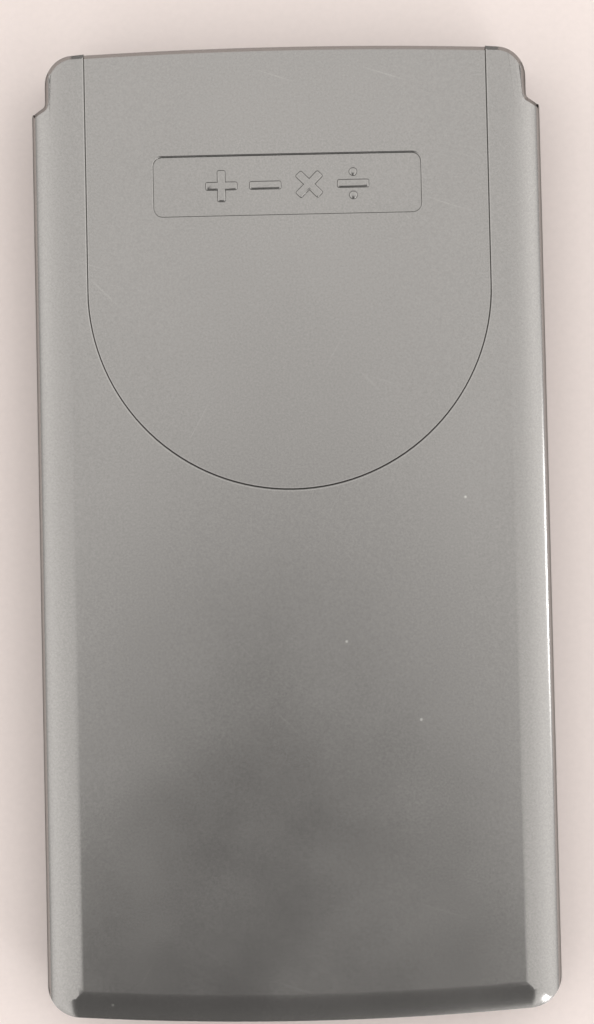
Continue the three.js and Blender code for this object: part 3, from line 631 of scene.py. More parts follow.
class StageSettings(bpy.types.PropertyGroup):
    """The table and the light."""

    table_colour: FloatVectorProperty(
        name="Table colour", description="Pale warm laminate", subtype="COLOR", default=linear("#EEE2DE")[:3]
    )
    sky: FloatProperty(name="Sky", description="Strength of the soft room light", default=1.2, min=0)


# ---- The cover ----


def rim_edge(edge):
    """Whether an edge lies between a flat top and an upright wall."""
    return len(edge.link_faces) == 2 and abs(edge.link_faces[0].normal.z - edge.link_faces[1].normal.z) > 0.5


def crosswise(step=4):
    """Places across the width where broad faces are cut into strips."""
    return [x * step * MM for x in range(int(-32 / step), int(32 / step) + 1)]


def loaf(half, base, top, roll, segments, radius=0, edge=0):
    """A long block with its two long upper edges rolled, or sloped on a wider arc down to a rounded edge."""
    piece = block("loaf", (-half, COVER_LOW.y - 20 * MM, base), (half, COVER_HIGH.y + 20 * MM, top))
    pick(piece, "EDGE", lambda e: middle(e).z > top - MM and abs(along(e).y) > 0.9)
    round_picked(roll, segments)
    if radius:
        for vertex in piece.data.vertices:
            out = abs(vertex.co.x) - (half - roll)
            if vertex.co.z > top - roll - HAIR and out > 0:
                out = roll * math.asin(min(1, out / roll)) / math.radians(90)
                vertex.co.x = math.copysign(half - roll + out, vertex.co.x)
                vertex.co.z = top - radius + math.sqrt(radius**2 - out**2)
        drop = radius - math.sqrt(radius**2 - roll**2)
        pick(piece, "EDGE", lambda e: abs(middle(e).z - top + drop) < 0.02 * MM and abs(along(e).y) > 0.9)
        round_picked(edge, 5)
    return piece


def roll_closed_end(piece, low_y, top, roll, radius, segments):
    """Slope the upper edge of a form's closed end and of its two corners, on a wide arc."""
    near = low_y + 5 * MM
    pick(piece, "EDGE", lambda e: middle(e).z > top - 0.01 * MM and middle(e).y < near and rim_edge(e))
    round_picked(roll, segments)
    for vertex in piece.data.vertices:
        fall = top - vertex.co.z
        if HAIR < fall < roll + HAIR:
            out = math.sqrt(max(0, roll**2 - (roll - fall) ** 2))
            vertex.co.z = top - radius + math.sqrt(radius**2 - out**2)


def cover_outside(settings):
    """The cover's outer form, with the narrower tongue at its open end."""
    low, high, top = COVER_LOW, COVER_HIGH, COVER_HIGH.z
    tongue_half = FRONT_HIGH.x - 0.05 * MM
    base = low.z
    plan = plate("plan", (0, (low.y + STEP) / 2), 2 * (high.x + HAIR), STEP - low.y, 0, base, top + HAIR)
    tongue = plate("tongue", (0, high.y / 2), 2 * tongue_half, high.y, 0, base, top + HAIR)
    cut(plan, tongue, operation="UNION")
    pick(plan, "VERT", lambda v: abs(v.co.x) > high.x - 0.1 * MM and v.co.y > 0)
    bpy.ops.transform.translate(value=(0, -STEP_SLOPE, 0))
    leave()
    for test, radius, steps in (
        (lambda p: p.y < low.y + MM, CLOSED_CORNER, 12),
        (lambda p: p.y > high.y - MM, 4.5 * MM, 10),
        (lambda p: abs(p.x) > high.x - 0.1 * MM and p.y > 0, 0.4 * MM, 3),
        (lambda p: abs(abs(p.x) - tongue_half) < 0.1 * MM and abs(p.y - STEP) < MM, 0.5 * MM, 3),
    ):
        pick(plan, "EDGE", lambda e: upright(e) and test(middle(e)))
        round_picked(radius, steps)
    slice_along_x(plan, crosswise())
    bow_ends(plan, low.y, high.y)
    roll_closed_end(plan, low.y, top + HAIR, settings.end_roll, settings.end_radius, 8)
    shoulders = loaf(high.x, base - MM, top, SHOULDER, 6, settings.shoulder, settings.side_edge)
    return cut(shoulders, plan, operation="INTERSECT")


def shoulder_strip(face):
    """Whether a face is one of the long strips of the cover's shoulders."""
    return abs(face.normal.x) > 0.05 and abs(face.calc_center_median().x) > COVER_HIGH.x - SHOULDER


def tongue_rim(edge):
    """Whether an edge turns sharply from the face down to the wall round the tongue."""
    place = middle(edge)
    outer = place.y > COVER_HIGH.y - 6 * MM or abs(place.x) > COVER_HIGH.x - 3 * MM
    high = place.y > STEP - 1.8 * MM and place.z > COVER_HIGH.z - 2.6 * MM
    sharp = len(edge.link_faces) == 2 and math.radians(40) < edge.calc_face_angle_signed(0)
    facing = any(face.normal.z > 0.5 for face in edge.link_faces)
    lengthwise = abs(along(edge).y) > 0.9 and abs(place.x) < COVER_HIGH.x - SHOULDER
    return outer and high and sharp and facing and not lengthwise


def cover_cavity(settings):
    """The space inside the cover, open at the tongue's end and underneath."""
    low_y = COVER_LOW.y + COVER_WALL
    half = COVER_HIGH.x - COVER_WALL
    high_y = COVER_HIGH.y + 10 * MM
    base = COVER_LOW.z - 10 * MM
    length = high_y - low_y
    plan = plate("plan", (0, low_y + length / 2), 2 * (half + HAIR), length, 0, base, COVER_UNDER + HAIR)
    pick(plan, "EDGE", lambda e: upright(e) and middle(e).y < 0)
    round_picked(CLOSED_CORNER - COVER_WALL, 10)
    slice_along_x(plan, crosswise())
    bow_ends(plan, low_y, 1)
    end = settings.end_roll - COVER_WALL, settings.end_radius - COVER_WALL
    roll_closed_end(plan, low_y, COVER_UNDER + HAIR, *end, 5)
    radius = settings.shoulder - COVER_WALL
    shoulders = loaf(half, base - MM, COVER_UNDER, SHOULDER - COVER_WALL, 5, radius, 0.4 * MM)
    return cut(shoulders, plan, operation="INTERSECT")


def thumb_cutter(settings):
    """A disc whose upper half is cut off and drawn out past the open end."""
    half = settings.recess_width / 2
    centre = COVER_HIGH.y - settings.recess_straight
    floor = COVER_HIGH.z - settings.recess_depth
    bpy.ops.object.select_all(action="DESELECT")
    place = (0, centre, floor)
    bpy.ops.mesh.primitive_circle_add(vertices=128, radius=half, fill_type="NGON", location=place)
    piece = settle(bpy.context.object, "thumb_cutter")
    pick(piece, "FACE", lambda f: True)
    bpy.ops.mesh.bisect(plane_co=(0, centre, 0), plane_no=(0, 1, 0), clear_outer=True)
    leave()
    pick(piece, "EDGE", lambda e: middle(e).y > centre - 0.01 * MM)
    draw_out(settings.recess_straight + 5 * MM, 0)
    leave()
    pick(piece, "FACE", lambda f: True)
    bpy.ops.mesh.dissolve_faces()
    draw_out(0, 5 * MM)
    leave()
    outward(piece)
    pick(piece, "EDGE", lambda e: middle(e).z < floor + 0.01 * MM and middle(e).y < COVER_HIGH.y)
    round_picked(0.25 * MM, 3)
    return piece


def recess_rim(settings, point):
    """Whether a point lies on the thumb recess's outline."""
    centre = COVER_HIGH.y - settings.recess_straight
    reach = abs(point.x) if point.y > centre else math.hypot(point.x, point.y - centre)
    return abs(reach - settings.recess_width / 2) < 0.1 * MM


def bar(name, x, y, width, height, low, high):
    """A raised stroke with softened upper edges."""
    piece = plate(name, (x, y), width, height, 0.15 * MM, low, high, 3)
    pick(piece, "EDGE", lambda e: middle(e).z > high - 0.01 * MM)
    round_picked(0.12 * MM, 3)
    return piece


def softened(piece, high):
    """Round a raised sign's upper edges, so that they catch the light."""
    pick(piece, "FACE", lambda f: f.normal.z > 0.9)
    bpy.ops.mesh.dissolve_faces()
    leave()
    top = high - 0.01 * MM
    pick(piece, "EDGE", lambda e: middle(e).z > top and e.is_manifold and e.calc_face_angle_signed(0) > 1)
    round_picked(0.3 * MM, 4)
    return piece


def crossed(name, x, y, arm, stroke, low, high):
    """Two strokes that cross at right angles, as one piece."""
    piece = plate(name, (x, y), arm, stroke, SIGN_CORNER, low, high, 4)
    return cut(piece, plate("upright", (x, y), stroke, arm, SIGN_CORNER, low, high, 4), operation="UNION")


def arithmetic_signs(low, high, y):
    """Plus, minus, times and divided by, raised on the panel."""
    stroke, arm, pitch = 1.4 * MM, 5.2 * MM, 7.1 * MM
    xs = [(place - 1.5) * pitch for place in range(4)]
    times = crossed("times", xs[2], y, arm, stroke, low, high)
    pick(times, "VERT", lambda v: True)
    bpy.ops.transform.rotate(value=math.radians(45), orient_axis="Z", center_override=(xs[2], y, low))
    leave()
    signs = [crossed("plus", xs[0], y, arm, stroke, low, high), times]
    for x in (xs[1], xs[3]):
        signs.append(plate("stroke", (x, y), arm, stroke, SIGN_CORNER, low, high, 4))
    for side in (-1, 1):
        signs.append(rod("dot", xs[3], y + side * (arm - stroke) / 2, low, high, stroke / 2, 24))
    return [softened(sign, high) for sign in signs]


class CALC_OT_cover(bpy.types.Operator):
    """Model the slide-on cover"""

    bl_idname = "calc.cover"
    bl_label = "Slide-on cover"

    def execute(self, context):
        settings = context.scene.calc_cover
        top = COVER_HIGH.z
        cover = cover_outside(settings)
        cover.name = cover.data.name = "hard_cover"
        below_tongue = block("below_tongue", (-0.06, STEP, 0), (0.06, COVER_HIGH.y + 5 * MM, top - 3.5 * MM))
        cut(cover, below_tongue, cover_cavity(settings))
        for side in (-1, 1):
            near, far = sorted((side * LIP_REACH, side * (COVER_HIGH.x - COVER_WALL / 2)))
            start = (near, COVER_LOW.y + 6 * MM, COVER_LOW.z)
            lip = block("lip", start, (far, RAIL_END - 2 * MM, COVER_LOW.z + LIP_HEIGHT))
            pick(lip, "EDGE", lambda e: upright(e) and abs(middle(e).x) < LIP_REACH + 0.1 * MM)
            round_picked(1.0 * MM, 4)
            cut(cover, lip, operation="UNION")
        cut(cover, thumb_cutter(settings))
        # Each shoulder strip is one clean face between its slices before its end is bevelled.
        pick(cover, "FACE", shoulder_strip)
        bpy.ops.mesh.dissolve_limited(angle_limit=math.radians(0.3))
        leave()
        slice_along_y(cover, [y * MM for y in (-72, -66, -40, 0, 40, 58, 64, 67)], shoulder_strip)
        pick(cover, "EDGE", tongue_rim)
        round_picked(settings.rim, 1)
        near = top - 0.02 * MM
        pick(cover, "EDGE", lambda e: middle(e).z > near and all(recess_rim(settings, v.co) for v in e.verts))
        round_picked(0.42 * MM, 4)
        y, floor = PANEL_Y, top - settings.recess_depth
        bottom = floor - settings.panel_depth
        cut(cover, plate("panel", (0, y), PANEL_WIDTH, PANEL_HEIGHT, 1.4 * MM, bottom, top, 6))

        def panel_rim(edge):
            place = middle(edge)
            across = abs(place.x) < PANEL_WIDTH / 2 + 0.1 * MM
            lengthwise = abs(place.y - y) < PANEL_HEIGHT / 2 + 0.1 * MM
            return across and lengthwise and abs(place.z - floor) < 0.01 * MM

        pick(cover, "EDGE", panel_rim)
        round_picked(0.28 * MM, 3)
        signs = arithmetic_signs(bottom - 0.2 * MM, floor - 0.05 * MM, y)
        cover = joined("hard_cover", [cover, *signs])
        slice_along_x(cover, crosswise())
        for vertex in cover.data.vertices:
            if vertex.co.z > 9 * MM:
                vertex.co.z -= settings.crown * min(1, abs(vertex.co.x) / (COVER_HIGH.x - SHOULDER)) ** 2
        smooth(cover)
        plastic = satin_cover_plastic("metal-flake ABS, moulded satin", settings)
        finish_piece(cover, plastic, "slide_cover", "cover_plastic", "slide_cover")
        return {"FINISHED"}


# ---- The body's two cases ----


def body_form(name, base, top, settings):
    """The body's outer form between two heights: straight sides, bowed ends and round corners."""
    low_y, high_y, half = FRONT_LOW.y, FRONT_HIGH.y, FRONT_HIGH.x
    form = plate(name, (0, (low_y + high_y) / 2), 2 * half, high_y - low_y, settings.corner, base, top, 10)
    slice_along_x(form, crosswise())
    bow_ends(form, low_y, high_y)
    return form


def inner_form(base, top, low_y=None):
    """The space inside a case, up to a height."""
    low_y = FRONT_LOW.y + END_WALL if low_y is None else low_y
    high_y = FRONT_HIGH.y - END_WALL
    form = plate("inner", (0, (low_y + high_y) / 2), 2 * INNER_HALF, high_y - low_y, 2.9 * MM, base, top, 5)
    slice_along_x(form, crosswise(8))
    bow_ends(form, low_y if low_y < 0 else -1, high_y)
    return form


def cut_grooves(case, low, high):
    """The grooves in the body's two sides that the cover's rails run in, open at the closed end."""
    for side in (-1, 1):
        near, far = sorted((side * (FRONT_HIGH.x - GROOVE_DEPTH), side * 60 * MM))
        cut(case, block("groove", (near, -0.1, low), (far, RAIL_END + 1.2 * MM, high)))


def over_keys():
    """What lies above the keypad deck, with the slope up to the display deck as its end."""
    rise = FRONT_HIGH.z - DECK_TOP
    spare = MM
    high_y = DISPLAY_LOW + spare * SLOPE_RUN / rise
    piece = block("over_keys", (-0.06, -0.1, DECK_TOP), (0.06, high_y, FRONT_HIGH.z + spare))
    pick(piece, "VERT", lambda v: v.co.y > 0 and v.co.z < DECK_TOP + HAIR)
    bpy.ops.transform.translate(value=(0, DISPLAY_LOW - SLOPE_RUN - high_y, 0))
    leave()
    return piece


def stem(key):
    """A key's centre, and its width and height above the flange."""
    low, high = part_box(key)
    return (low + high) / 2, high.x - low.x - 2 * FLANGE, high.y - low.y - 2 * FLANGE


def key_openings(low, high):
    """Cutters for all the key openings."""
    cutters = []
    for key in (*LEGENDS, "cursor_rocker"):
        centre, width, height = stem(key)
        corner, steps = (height / 2 - 0.4 * MM, 14) if key == "cursor_rocker" else (KEY_CORNER, 5)
        size = width + 2 * KEY_FIT, height + 2 * KEY_FIT
        cutters.append(plate("opening", centre, *size, corner + KEY_FIT, low, high, steps))
    return joined("openings", cutters)


def round_rims(case, height, inside, width, segments=3):
    """Round the sharp outward rims that lie at one height and pass a test."""

    def rim(edge):
        level = all(abs(v.co.z - height) < 0.02 * MM for v in edge.verts)
        sharp = len(edge.link_faces) == 2 and edge.calc_face_angle_signed(0) > math.radians(40)
        return level and sharp and inside(middle(edge))

    pick(case, "EDGE", rim)
    round_picked(width, segments)


class CALC_OT_front_case(bpy.types.Operator):
    """Model the front case with its decks, openings and screw bosses"""

    bl_idname = "calc.front_case"
    bl_label = "Front case"

    def execute(self, context):
        settings = context.scene.calc_body
        top = FRONT_HIGH.z
        base = PARTING + SEAM / 2
        plan = body_form("front_case_shell", base, top + HAIR, settings)
        rim = 5 * MM
        pick(plan, "EDGE", lambda e: middle(e).z > top and middle(e).y > FRONT_HIGH.y - rim and rim_edge(e))
        round_picked(settings.edge, 5)
        roll = SHOULDER - COVER_WALL - COVER_GAP
        case = cut(loaf(FRONT_HIGH.x - HAIR, base - MM, top, roll, 12), plan, operation="INTERSECT")
        settle(case, "front_case_shell")
        cut(case, over_keys())
        cut_grooves(case, 0, GROOVE_HIGH)
        under_display = inner_form(DECK_UNDER - MM, DISPLAY_UNDER, DISPLAY_LOW + END_WALL)
        cut(case, inner_form(0, DECK_UNDER), under_display)
        for name in CASE_SCREWS:
            _, high, (x, y, _), _ = extent(name)
            under = DISPLAY_UNDER if y > 0 else DECK_UNDER
            cut(case, rod("boss", x, y, FRONT_LOW.z, under + 0.8 * MM, 2.6 * MM, 24), operation="UNION")
            cut(case, rod("hole", x, y, 0, high.z + 0.3 * MM, SCREW_HOLE, 16))
        cut(case, key_openings(DECK_UNDER - MM, DECK_TOP + MM))
        for window, ledge in (("display_window", DISPLAY_LEDGE), ("solar_window", SOLAR_LEDGE)):
            low, _, centre, size = extent(window)
            fit, inset = 2 * WINDOW_FIT, 2 * ledge
            seat = plate("seat", centre, size.x + fit, size.y + fit, 1.7 * MM, low.z - 0.3 * MM, top + MM, 6)
            opening = plate("opening", centre, size.x - inset, size.y - inset, 1.5 * MM, PARTING, top + MM, 6)
            cut(case, seat, opening)
        side, end = 36 * MM, -70 * MM
        round_rims(case, DECK_TOP, lambda p: abs(p.x) < side and end < p.y < 29 * MM, 0.25 * MM)
        round_rims(case, DECK_TOP, lambda p: p.y < 30.9 * MM and (abs(p.x) > side or p.y < end), 0.5 * MM)
        round_rims(case, top, lambda p: abs(p.x) < 34.5 * MM and 35 * MM < p.y < 75.6 * MM, 0.15 * MM, 2)
        smooth(case)
        name = "ABS, moulded, fine spark texture"
        material = moulded_plastic(name, settings.front_colour, 0.42, 0.35, 0.03)
        finish_piece(case, material, "calculator_body", "front_case_plastic", "front_case")
        return {"FINISHED"}


class CALC_OT_rear_case(bpy.types.Operator):
    """Model the rear case with its feet, screw posts, battery opening and label recess"""

    bl_idname = "calc.rear_case"
    bl_label = "Rear case"

    def execute(self, context):
        settings = context.scene.calc_body
        under = 0.6 * MM
        floor = under + 1.5 * MM
        case = body_form("rear_case_shell", under, PARTING - SEAM / 2, settings)
        pick(case, "EDGE", lambda e: middle(e).z < under + HAIR and rim_edge(e))
        round_picked(settings.edge, 5)
        cut_grooves(case, GROOVE_LOW, 20 * MM)
        cut(case, inner_form(floor, 30 * MM))
        door_low, door_high, door, door_size = extent("battery_door")
        cell_low, _, cell, _ = extent("battery_cell")
        rim = 2.5 * MM
        frame_box = block(
            "door_frame",
            (door_low.x - rim, door_low.y - rim, floor - 0.7 * MM),
            (door_high.x + rim, FRONT_HIGH.y - END_WALL - 0.35 * MM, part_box("circuit_board")[1].z),
        )
        cut(case, frame_box, operation="UNION")
        for x in (-29 * MM, 29 * MM):
            for y in (REAR_LOW.y + 15.8 * MM, REAR_HIGH.y - 15.8 * MM):
                foot = rod("foot", x, y, 0, floor - 0.7 * MM, 3.5 * MM, 32)
                pick(foot, "EDGE", lambda e: middle(e).z < HAIR)
                round_picked(0.35 * MM, 3)
                cut(case, foot, operation="UNION")
        through = 30 * MM
        for name in CASE_SCREWS:
            _, _, (x, y, _), _ = extent(name)
            cut(case, rod("post", x, y, under + 0.75 * MM, 4.05 * MM, 3.1 * MM, 24), operation="UNION")
            hole = rod("hole", x, y, -MM, through, SCREW_HOLE, 16)
            cut(case, hole, rod("sunk", x, y, -MM, 2.4 * MM, 2.0 * MM, 32))
        width, height = door_size.x + 2 * DOOR_FIT, door_size.y + 2 * DOOR_FIT
        _, _, screw, _ = extent("battery_door_screw")
        half = 2.3 * MM
        slot = block(
            "contact_slot",
            (cell.x, cell.y - half, cell_low.z + 0.4 * MM),
            (cell.x + 7.0 * MM, cell.y + half, through),
        )
        cut(
            case,
            plate("door_seat", door, width, height, 0.8 * MM, -MM, door_high.z + 0.3 * MM, 4),
            rod("cell_hole", cell.x, cell.y, -MM, through, 6.1 * MM, 48),
            rod("pilot", screw.x, screw.y, -MM, through, SCREW_HOLE, 16),
            slot,
            rod("reset", INNER_HALF / 2, DISPLAY_LOW, -MM, floor + MM, 0.9 * MM, 24),
            plate("label", (0, -11 * MM), 44 * MM, 22 * MM, 2 * MM, -MM, under + 0.3 * MM, 6),
        )
        round_rims(case, under, lambda p: abs(p.x) < 37 * MM and abs(p.y) < 76.4 * MM, 0.15 * MM, 2)
        smooth(case)
        material = moulded_plastic("ABS, moulded, coarse spark texture", settings.rear_colour, 0.5, 0.5, 0.06)
        finish_piece(case, material, "calculator_body", "rear_case_plastic", "rear_case")
        return {"FINISHED"}


# ---- Keys ----


def cap_blank(name, width, height, corner, low, top, bevel, dish, steps=5):
    """A key at the origin: flange, stem, rounded top edge and a shallow dish with a flat middle."""
    size = width + 2 * FLANGE, height + 2 * FLANGE
    cap = plate(name, (0, 0), *size, corner + FLANGE, low, low + FLANGE_THICK, steps)
    pick(cap, "FACE", lambda f: f.normal.z > 0.9)
    bpy.ops.mesh.inset(thickness=FLANGE)
    draw_out(0, top - low - FLANGE_THICK)
    leave()
    pick(cap, "EDGE", lambda e: all(v.co.z > top - HAIR for v in e.verts))
    round_picked(bevel, 4)
    ring = min(0.14 * min(width, height), corner - bevel - 0.2 * MM)
    pick(cap, "FACE", lambda f: f.normal.z > 0.99 and f.calc_center_median().z > top - HAIR)
    for share in (0.0, 0.08, 0.27, 0.32, 0.24, 0.09):
        bpy.ops.mesh.inset(thickness=ring / 6, depth=-dish * share)
    leave()
    return smooth(cap, 50)


def lettering(name, words, size, x, y, z, depth=0.05 * MM):
    """Printed words as one thin closed mesh, centred on a point."""
    bpy.ops.object.select_all(action="DESELECT")
    bpy.ops.object.text_add()
    text = bpy.context.object
    text.data.body = words
    text.data.size = size
    text.data.align_x = "CENTER"
    text.data.extrude = depth / 2
    text.data.resolution_u = 3
    text.data.offset = 0 if set(words) & set("ˣʸ³√") else size * 0.012
    bpy.ops.object.convert(target="MESH")
    mesh = bpy.context.object
    heights = [v.co.y for v in mesh.data.vertices]
    rise = (max(heights) + min(heights)) / 2 if words in "·°−" or len(words) > 9 else size * 0.35
    mesh.location = (x, y - rise, z)
    settle(mesh, name)
    pick(mesh, "VERT", lambda v: True)
    bpy.ops.mesh.remove_doubles(threshold=0.001 * MM)
    bpy.ops.mesh.normals_make_consistent(inside=False)
    leave()
    return mesh


def copied(blank, name, x, y):
    """A copy of a finished blank with a mesh of its own, put in its place."""
    copy = blank.copy()
    copy.data = blank.data.copy()
    bpy.context.scene.collection.objects.link(copy)
    copy.location = (x, y, 0)
    return settle(copy, name)


def removed(*pieces):
    for piece in pieces:
        bpy.data.meshes.remove(piece.data)


class CALC_OT_keys(bpy.types.Operator):
    """Model the three sizes of key, copy them to their places and print their legends"""

    bl_idname = "calc.keys"
    bl_label = "Keys"

    def execute(self, context):
        settings = context.scene.calc_keys
        pale = moulded_plastic("ABS key, moulded, pale", settings.pale_colour, 0.4, 0.3, 0.02)
        dark = moulded_plastic("ABS key, moulded, dark", settings.dark_colour, 0.42, 0.3, 0.02)
        red = moulded_plastic("ABS key, moulded, red", settings.red_colour, 0.4, 0.3, 0.02)
        white_ink = printed_ink("screen-printed ink, white", "#E4E6E6")
        dark_ink = printed_ink("screen-printed ink, near black", "#1D1F22")
        blanks = {}
        for key, (legend, _) in LEGENDS.items():
            low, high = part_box(key)
            centre, width, height = stem(key)
            size = (round(width / MM, 2), round(height / MM, 2), round(high.z / MM, 2))
            if size not in blanks:
                form = width, height, KEY_CORNER, low.z, high.z, settings.edge, settings.dish
                blanks[size] = cap_blank("blank", *form)
            piece = copied(blanks[size], f"{key}_cap", centre.x, centre.y)
            if key in ("key_delete", "key_clear"):
                plastic, ink, slot = red, white_ink, "red_key_plastic"
            elif high.z < FRONT_HIGH.z - 0.1 * MM:
                plastic, ink, slot = dark, white_ink, "dark_key_plastic"
            else:
                plastic, ink, slot = pale, dark_ink, "pale_key_plastic"
            if high.z < FRONT_HIGH.z - 0.1 * MM:
                letter = 2.3 * MM if width < 10 * MM else 2.8 * MM
            else:
                letter = 4.8 * MM if len(legend) == 1 else 2.9 * MM
            floor = high.z - settings.dish
            words = lettering("legend", legend, letter, centre.x, centre.y, floor)
            piece.data.materials.append(plastic)
            words.data.materials.append(ink)
            piece = joined(f"{key}_cap", [piece, words])
            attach(piece, key)
            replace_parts(piece, key)
        removed(*blanks.values())
        return {"FINISHED"}


class CALC_OT_cursor(bpy.types.Operator):
    """Model the cursor rocker with its two arrows"""

    bl_idname = "calc.cursor"
    bl_label = "Cursor rocker"

    def execute(self, context):
        settings = context.scene.calc_keys
        low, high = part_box("cursor_rocker")
        centre, width, height = stem("cursor_rocker")
        form = width, height, height / 2 - 0.4 * MM, low.z, high.z, 0.6 * MM, settings.dish
        blank = cap_blank("blank", *form, steps=14)
        piece = copied(blank, "cursor_rocker_cap", centre.x, centre.y)
        removed(blank)
        plastic = moulded_plastic("ABS rocker, moulded, pale", settings.pale_colour, 0.36, 0.3, 0.02)
        piece.data.materials.append(plastic)
        ink = printed_ink("screen-printed ink, black", "#1D1F22")
        floor = high.z - settings.dish
        arrows = []
        for side in (-1, 1):
            arrow = rod("arrow", 0, 0, floor - 0.03 * MM, floor + 0.025 * MM, 1.15 * MM, 3)
            pick(arrow, "VERT", lambda v: True)
            turn = side * math.radians(90)
            bpy.ops.transform.rotate(value=turn, orient_axis="Z", center_override=(0, 0, floor))
            bpy.ops.transform.translate(value=(centre.x + side * width * 0.25, centre.y, 0))
            leave()
            arrow.data.materials.append(ink)
            arrows.append(arrow)
        piece = joined("cursor_rocker_cap", [piece, *arrows])
        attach(piece, "cursor_rocker")
        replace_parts(piece, "cursor_rocker")
        return {"FINISHED"}


class CALC_OT_deck_print(bpy.types.Operator):
    """Print the second legends on the deck above the function keys"""

    bl_idname = "calc.deck_print"
    bl_label = "Deck print"

    def execute(self, context):
        words = []
        for key, (_, second) in LEGENDS.items():
            if not second:
                continue
            centre, _, height = stem(key)
            y = centre.y + height / 2 + KEY_FIT + 1.5 * MM
            words.append(lettering("legend", second, 2.0 * MM, centre.x, y, DECK_TOP, 0.04 * MM))
        piece = joined("second_legends", words)
        ink = printed_ink("screen-printed ink, amber", "#D9A441")
        finish_piece(piece, ink, "calculator_body", "front_case_plastic")
        return {"FINISHED"}


# ---- Display and solar cell ----


def window_pane(name, node_name, ledge, clear, border):
    """A clear pane with a rounded upper rim and a printed border under it."""
    low, high, centre, size = extent(node_name)
    pane = plate(name, centre, size.x, size.y, 1.5 * MM, low.z, high.z, 6)
    pick(pane, "EDGE", lambda e: middle(e).z > high.z - HAIR)
    round_picked(0.2 * MM, 3)
    pane.data.materials.append(clear)
    print_low, print_high = low.z - 0.07 * MM, low.z - 0.02 * MM
    rim = plate("border", centre, size.x - 0.1 * MM, size.y - 0.1 * MM, 1.5 * MM, print_low, print_high, 6)
    inside = 2 * ledge + 0.2 * MM
    cut(rim, plate("view", centre, size.x - inside, size.y - inside, 1.3 * MM, 0, high.z, 6))
    rim.data.materials.append(border)
    return joined(name, [pane, rim])


def seven_segments(centre, height, width, low, high, lit):
    """One digit's seven bars with mitred ends, only the lit ones or only the others."""
    stroke = width * 0.2
    half_w, half_h = (width - stroke) / 2, (height - stroke) / 4
    places = {
        "a": (0, 2 * half_h, 0),
        "g": (0, 0, 0),
        "d": (0, -2 * half_h, 0),
        "f": (-half_w, half_h, 1),
        "b": (half_w, half_h, 1),
        "e": (-half_w, -half_h, 1),
        "c": (half_w, -half_h, 1),
    }
    bars = []
    for name, (dx, dy, turned) in places.items():
        if name not in lit:
            continue
        length = (2 * half_h if turned else 2 * half_w) - 0.12 * MM
        across = (stroke, length) if turned else (length, stroke)
        bars.append(plate(name, (centre[0] + dx, centre[1] + dy), *across, stroke * 0.48, low, high, 1))
    return bars


class CALC_OT_display(bpy.types.Operator):
    """Model the display glass with its digits, the two windows and the solar cell"""

    bl_idname = "calc.display"
    bl_label = "Display and solar cell"

    def execute(self, context):
        settings = context.scene.calc_body
        clear = polished_acrylic("cast acrylic, polished")
        border = printed_ink("back-printed border, black", "#101114")
        for name, window, ledge in (
            ("display_pane", "display_window", DISPLAY_LEDGE),
            ("solar_pane", "solar_window", SOLAR_LEDGE),
        ):
            pane = window_pane(name, window, ledge, clear, border)
            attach(pane, "calculator_body")
            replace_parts(pane, window)

        low, high, centre, size = extent("lcd_panel")
        lower = plate("lower_glass", centre, size.x, size.y, 0.3 * MM, low.z, low.z + 0.85 * MM, 2)
        ledge = 2.5 * MM
        middle_y, base = centre.y + ledge / 2, low.z + 0.86 * MM
        upper = plate("upper_glass", (centre.x, middle_y), size.x, size.y - ledge, 0.3 * MM, base, high.z, 2)
        for glass in (lower, upper):
            pick(glass, "EDGE", lambda e: abs(along(e).z) < 0.1)
            round_picked(0.08 * MM, 2)
        glass = joined("display_glass", [lower, upper])
        material = display_glass("reflective display glass", settings)
        finish_piece(glass, material, "calculator_body", "lcd_glass", "lcd_panel")

        lit, unlit = [], []
        height, pitch = 9.0 * MM, 5.7 * MM
        y, width = centre.y - 2.2 * MM, 4.3 * MM
        film = high.z + 0.01 * MM, high.z + 0.03 * MM
        for place in range(10):
            x = centre.x + (place - 4.5) * pitch - 0.4 * MM
            shown = "abcdef" if place == 9 else ""
            hidden = "".join(name for name in "abcdefg" if name not in shown)
            lit += seven_segments((x, y), height, width, *film, shown)
            unlit += seven_segments((x, y), height, width, *film, hidden)
            point = rod("point", x + pitch / 2, y - height / 2 + 0.35 * MM, *film, 0.38 * MM, 12)
            (lit if place == 9 else unlit).append(point)
        for state, bars, colour in (("shown", lit, "#23281F"), ("resting", unlit, "#87927D")):
            ink = printed_ink(f"liquid crystal segments, {state}", colour)
            finish_piece(joined(f"digits_{state}", bars), ink, "calculator_body", "lcd_glass")

        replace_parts(solar_plate("solar_cell_glass"), "solar_cell")
        return {"FINISHED"}


def solar_plate(name):
    """The solar cell: a bevelled glass plate."""
    low, high, centre, size = extent("solar_cell")
    piece = plate(name, centre, size.x, size.y, 0.3 * MM, low.z, high.z, 2)
    pick(piece, "EDGE", lambda e: abs(along(e).z) < 0.1)
    round_picked(0.1 * MM, 2)
    material = thin_film_cell("amorphous silicon on glass", centre.x)
    return finish_piece(piece, material, "calculator_body", "solar_glass")


# ---- Battery, door and screws ----


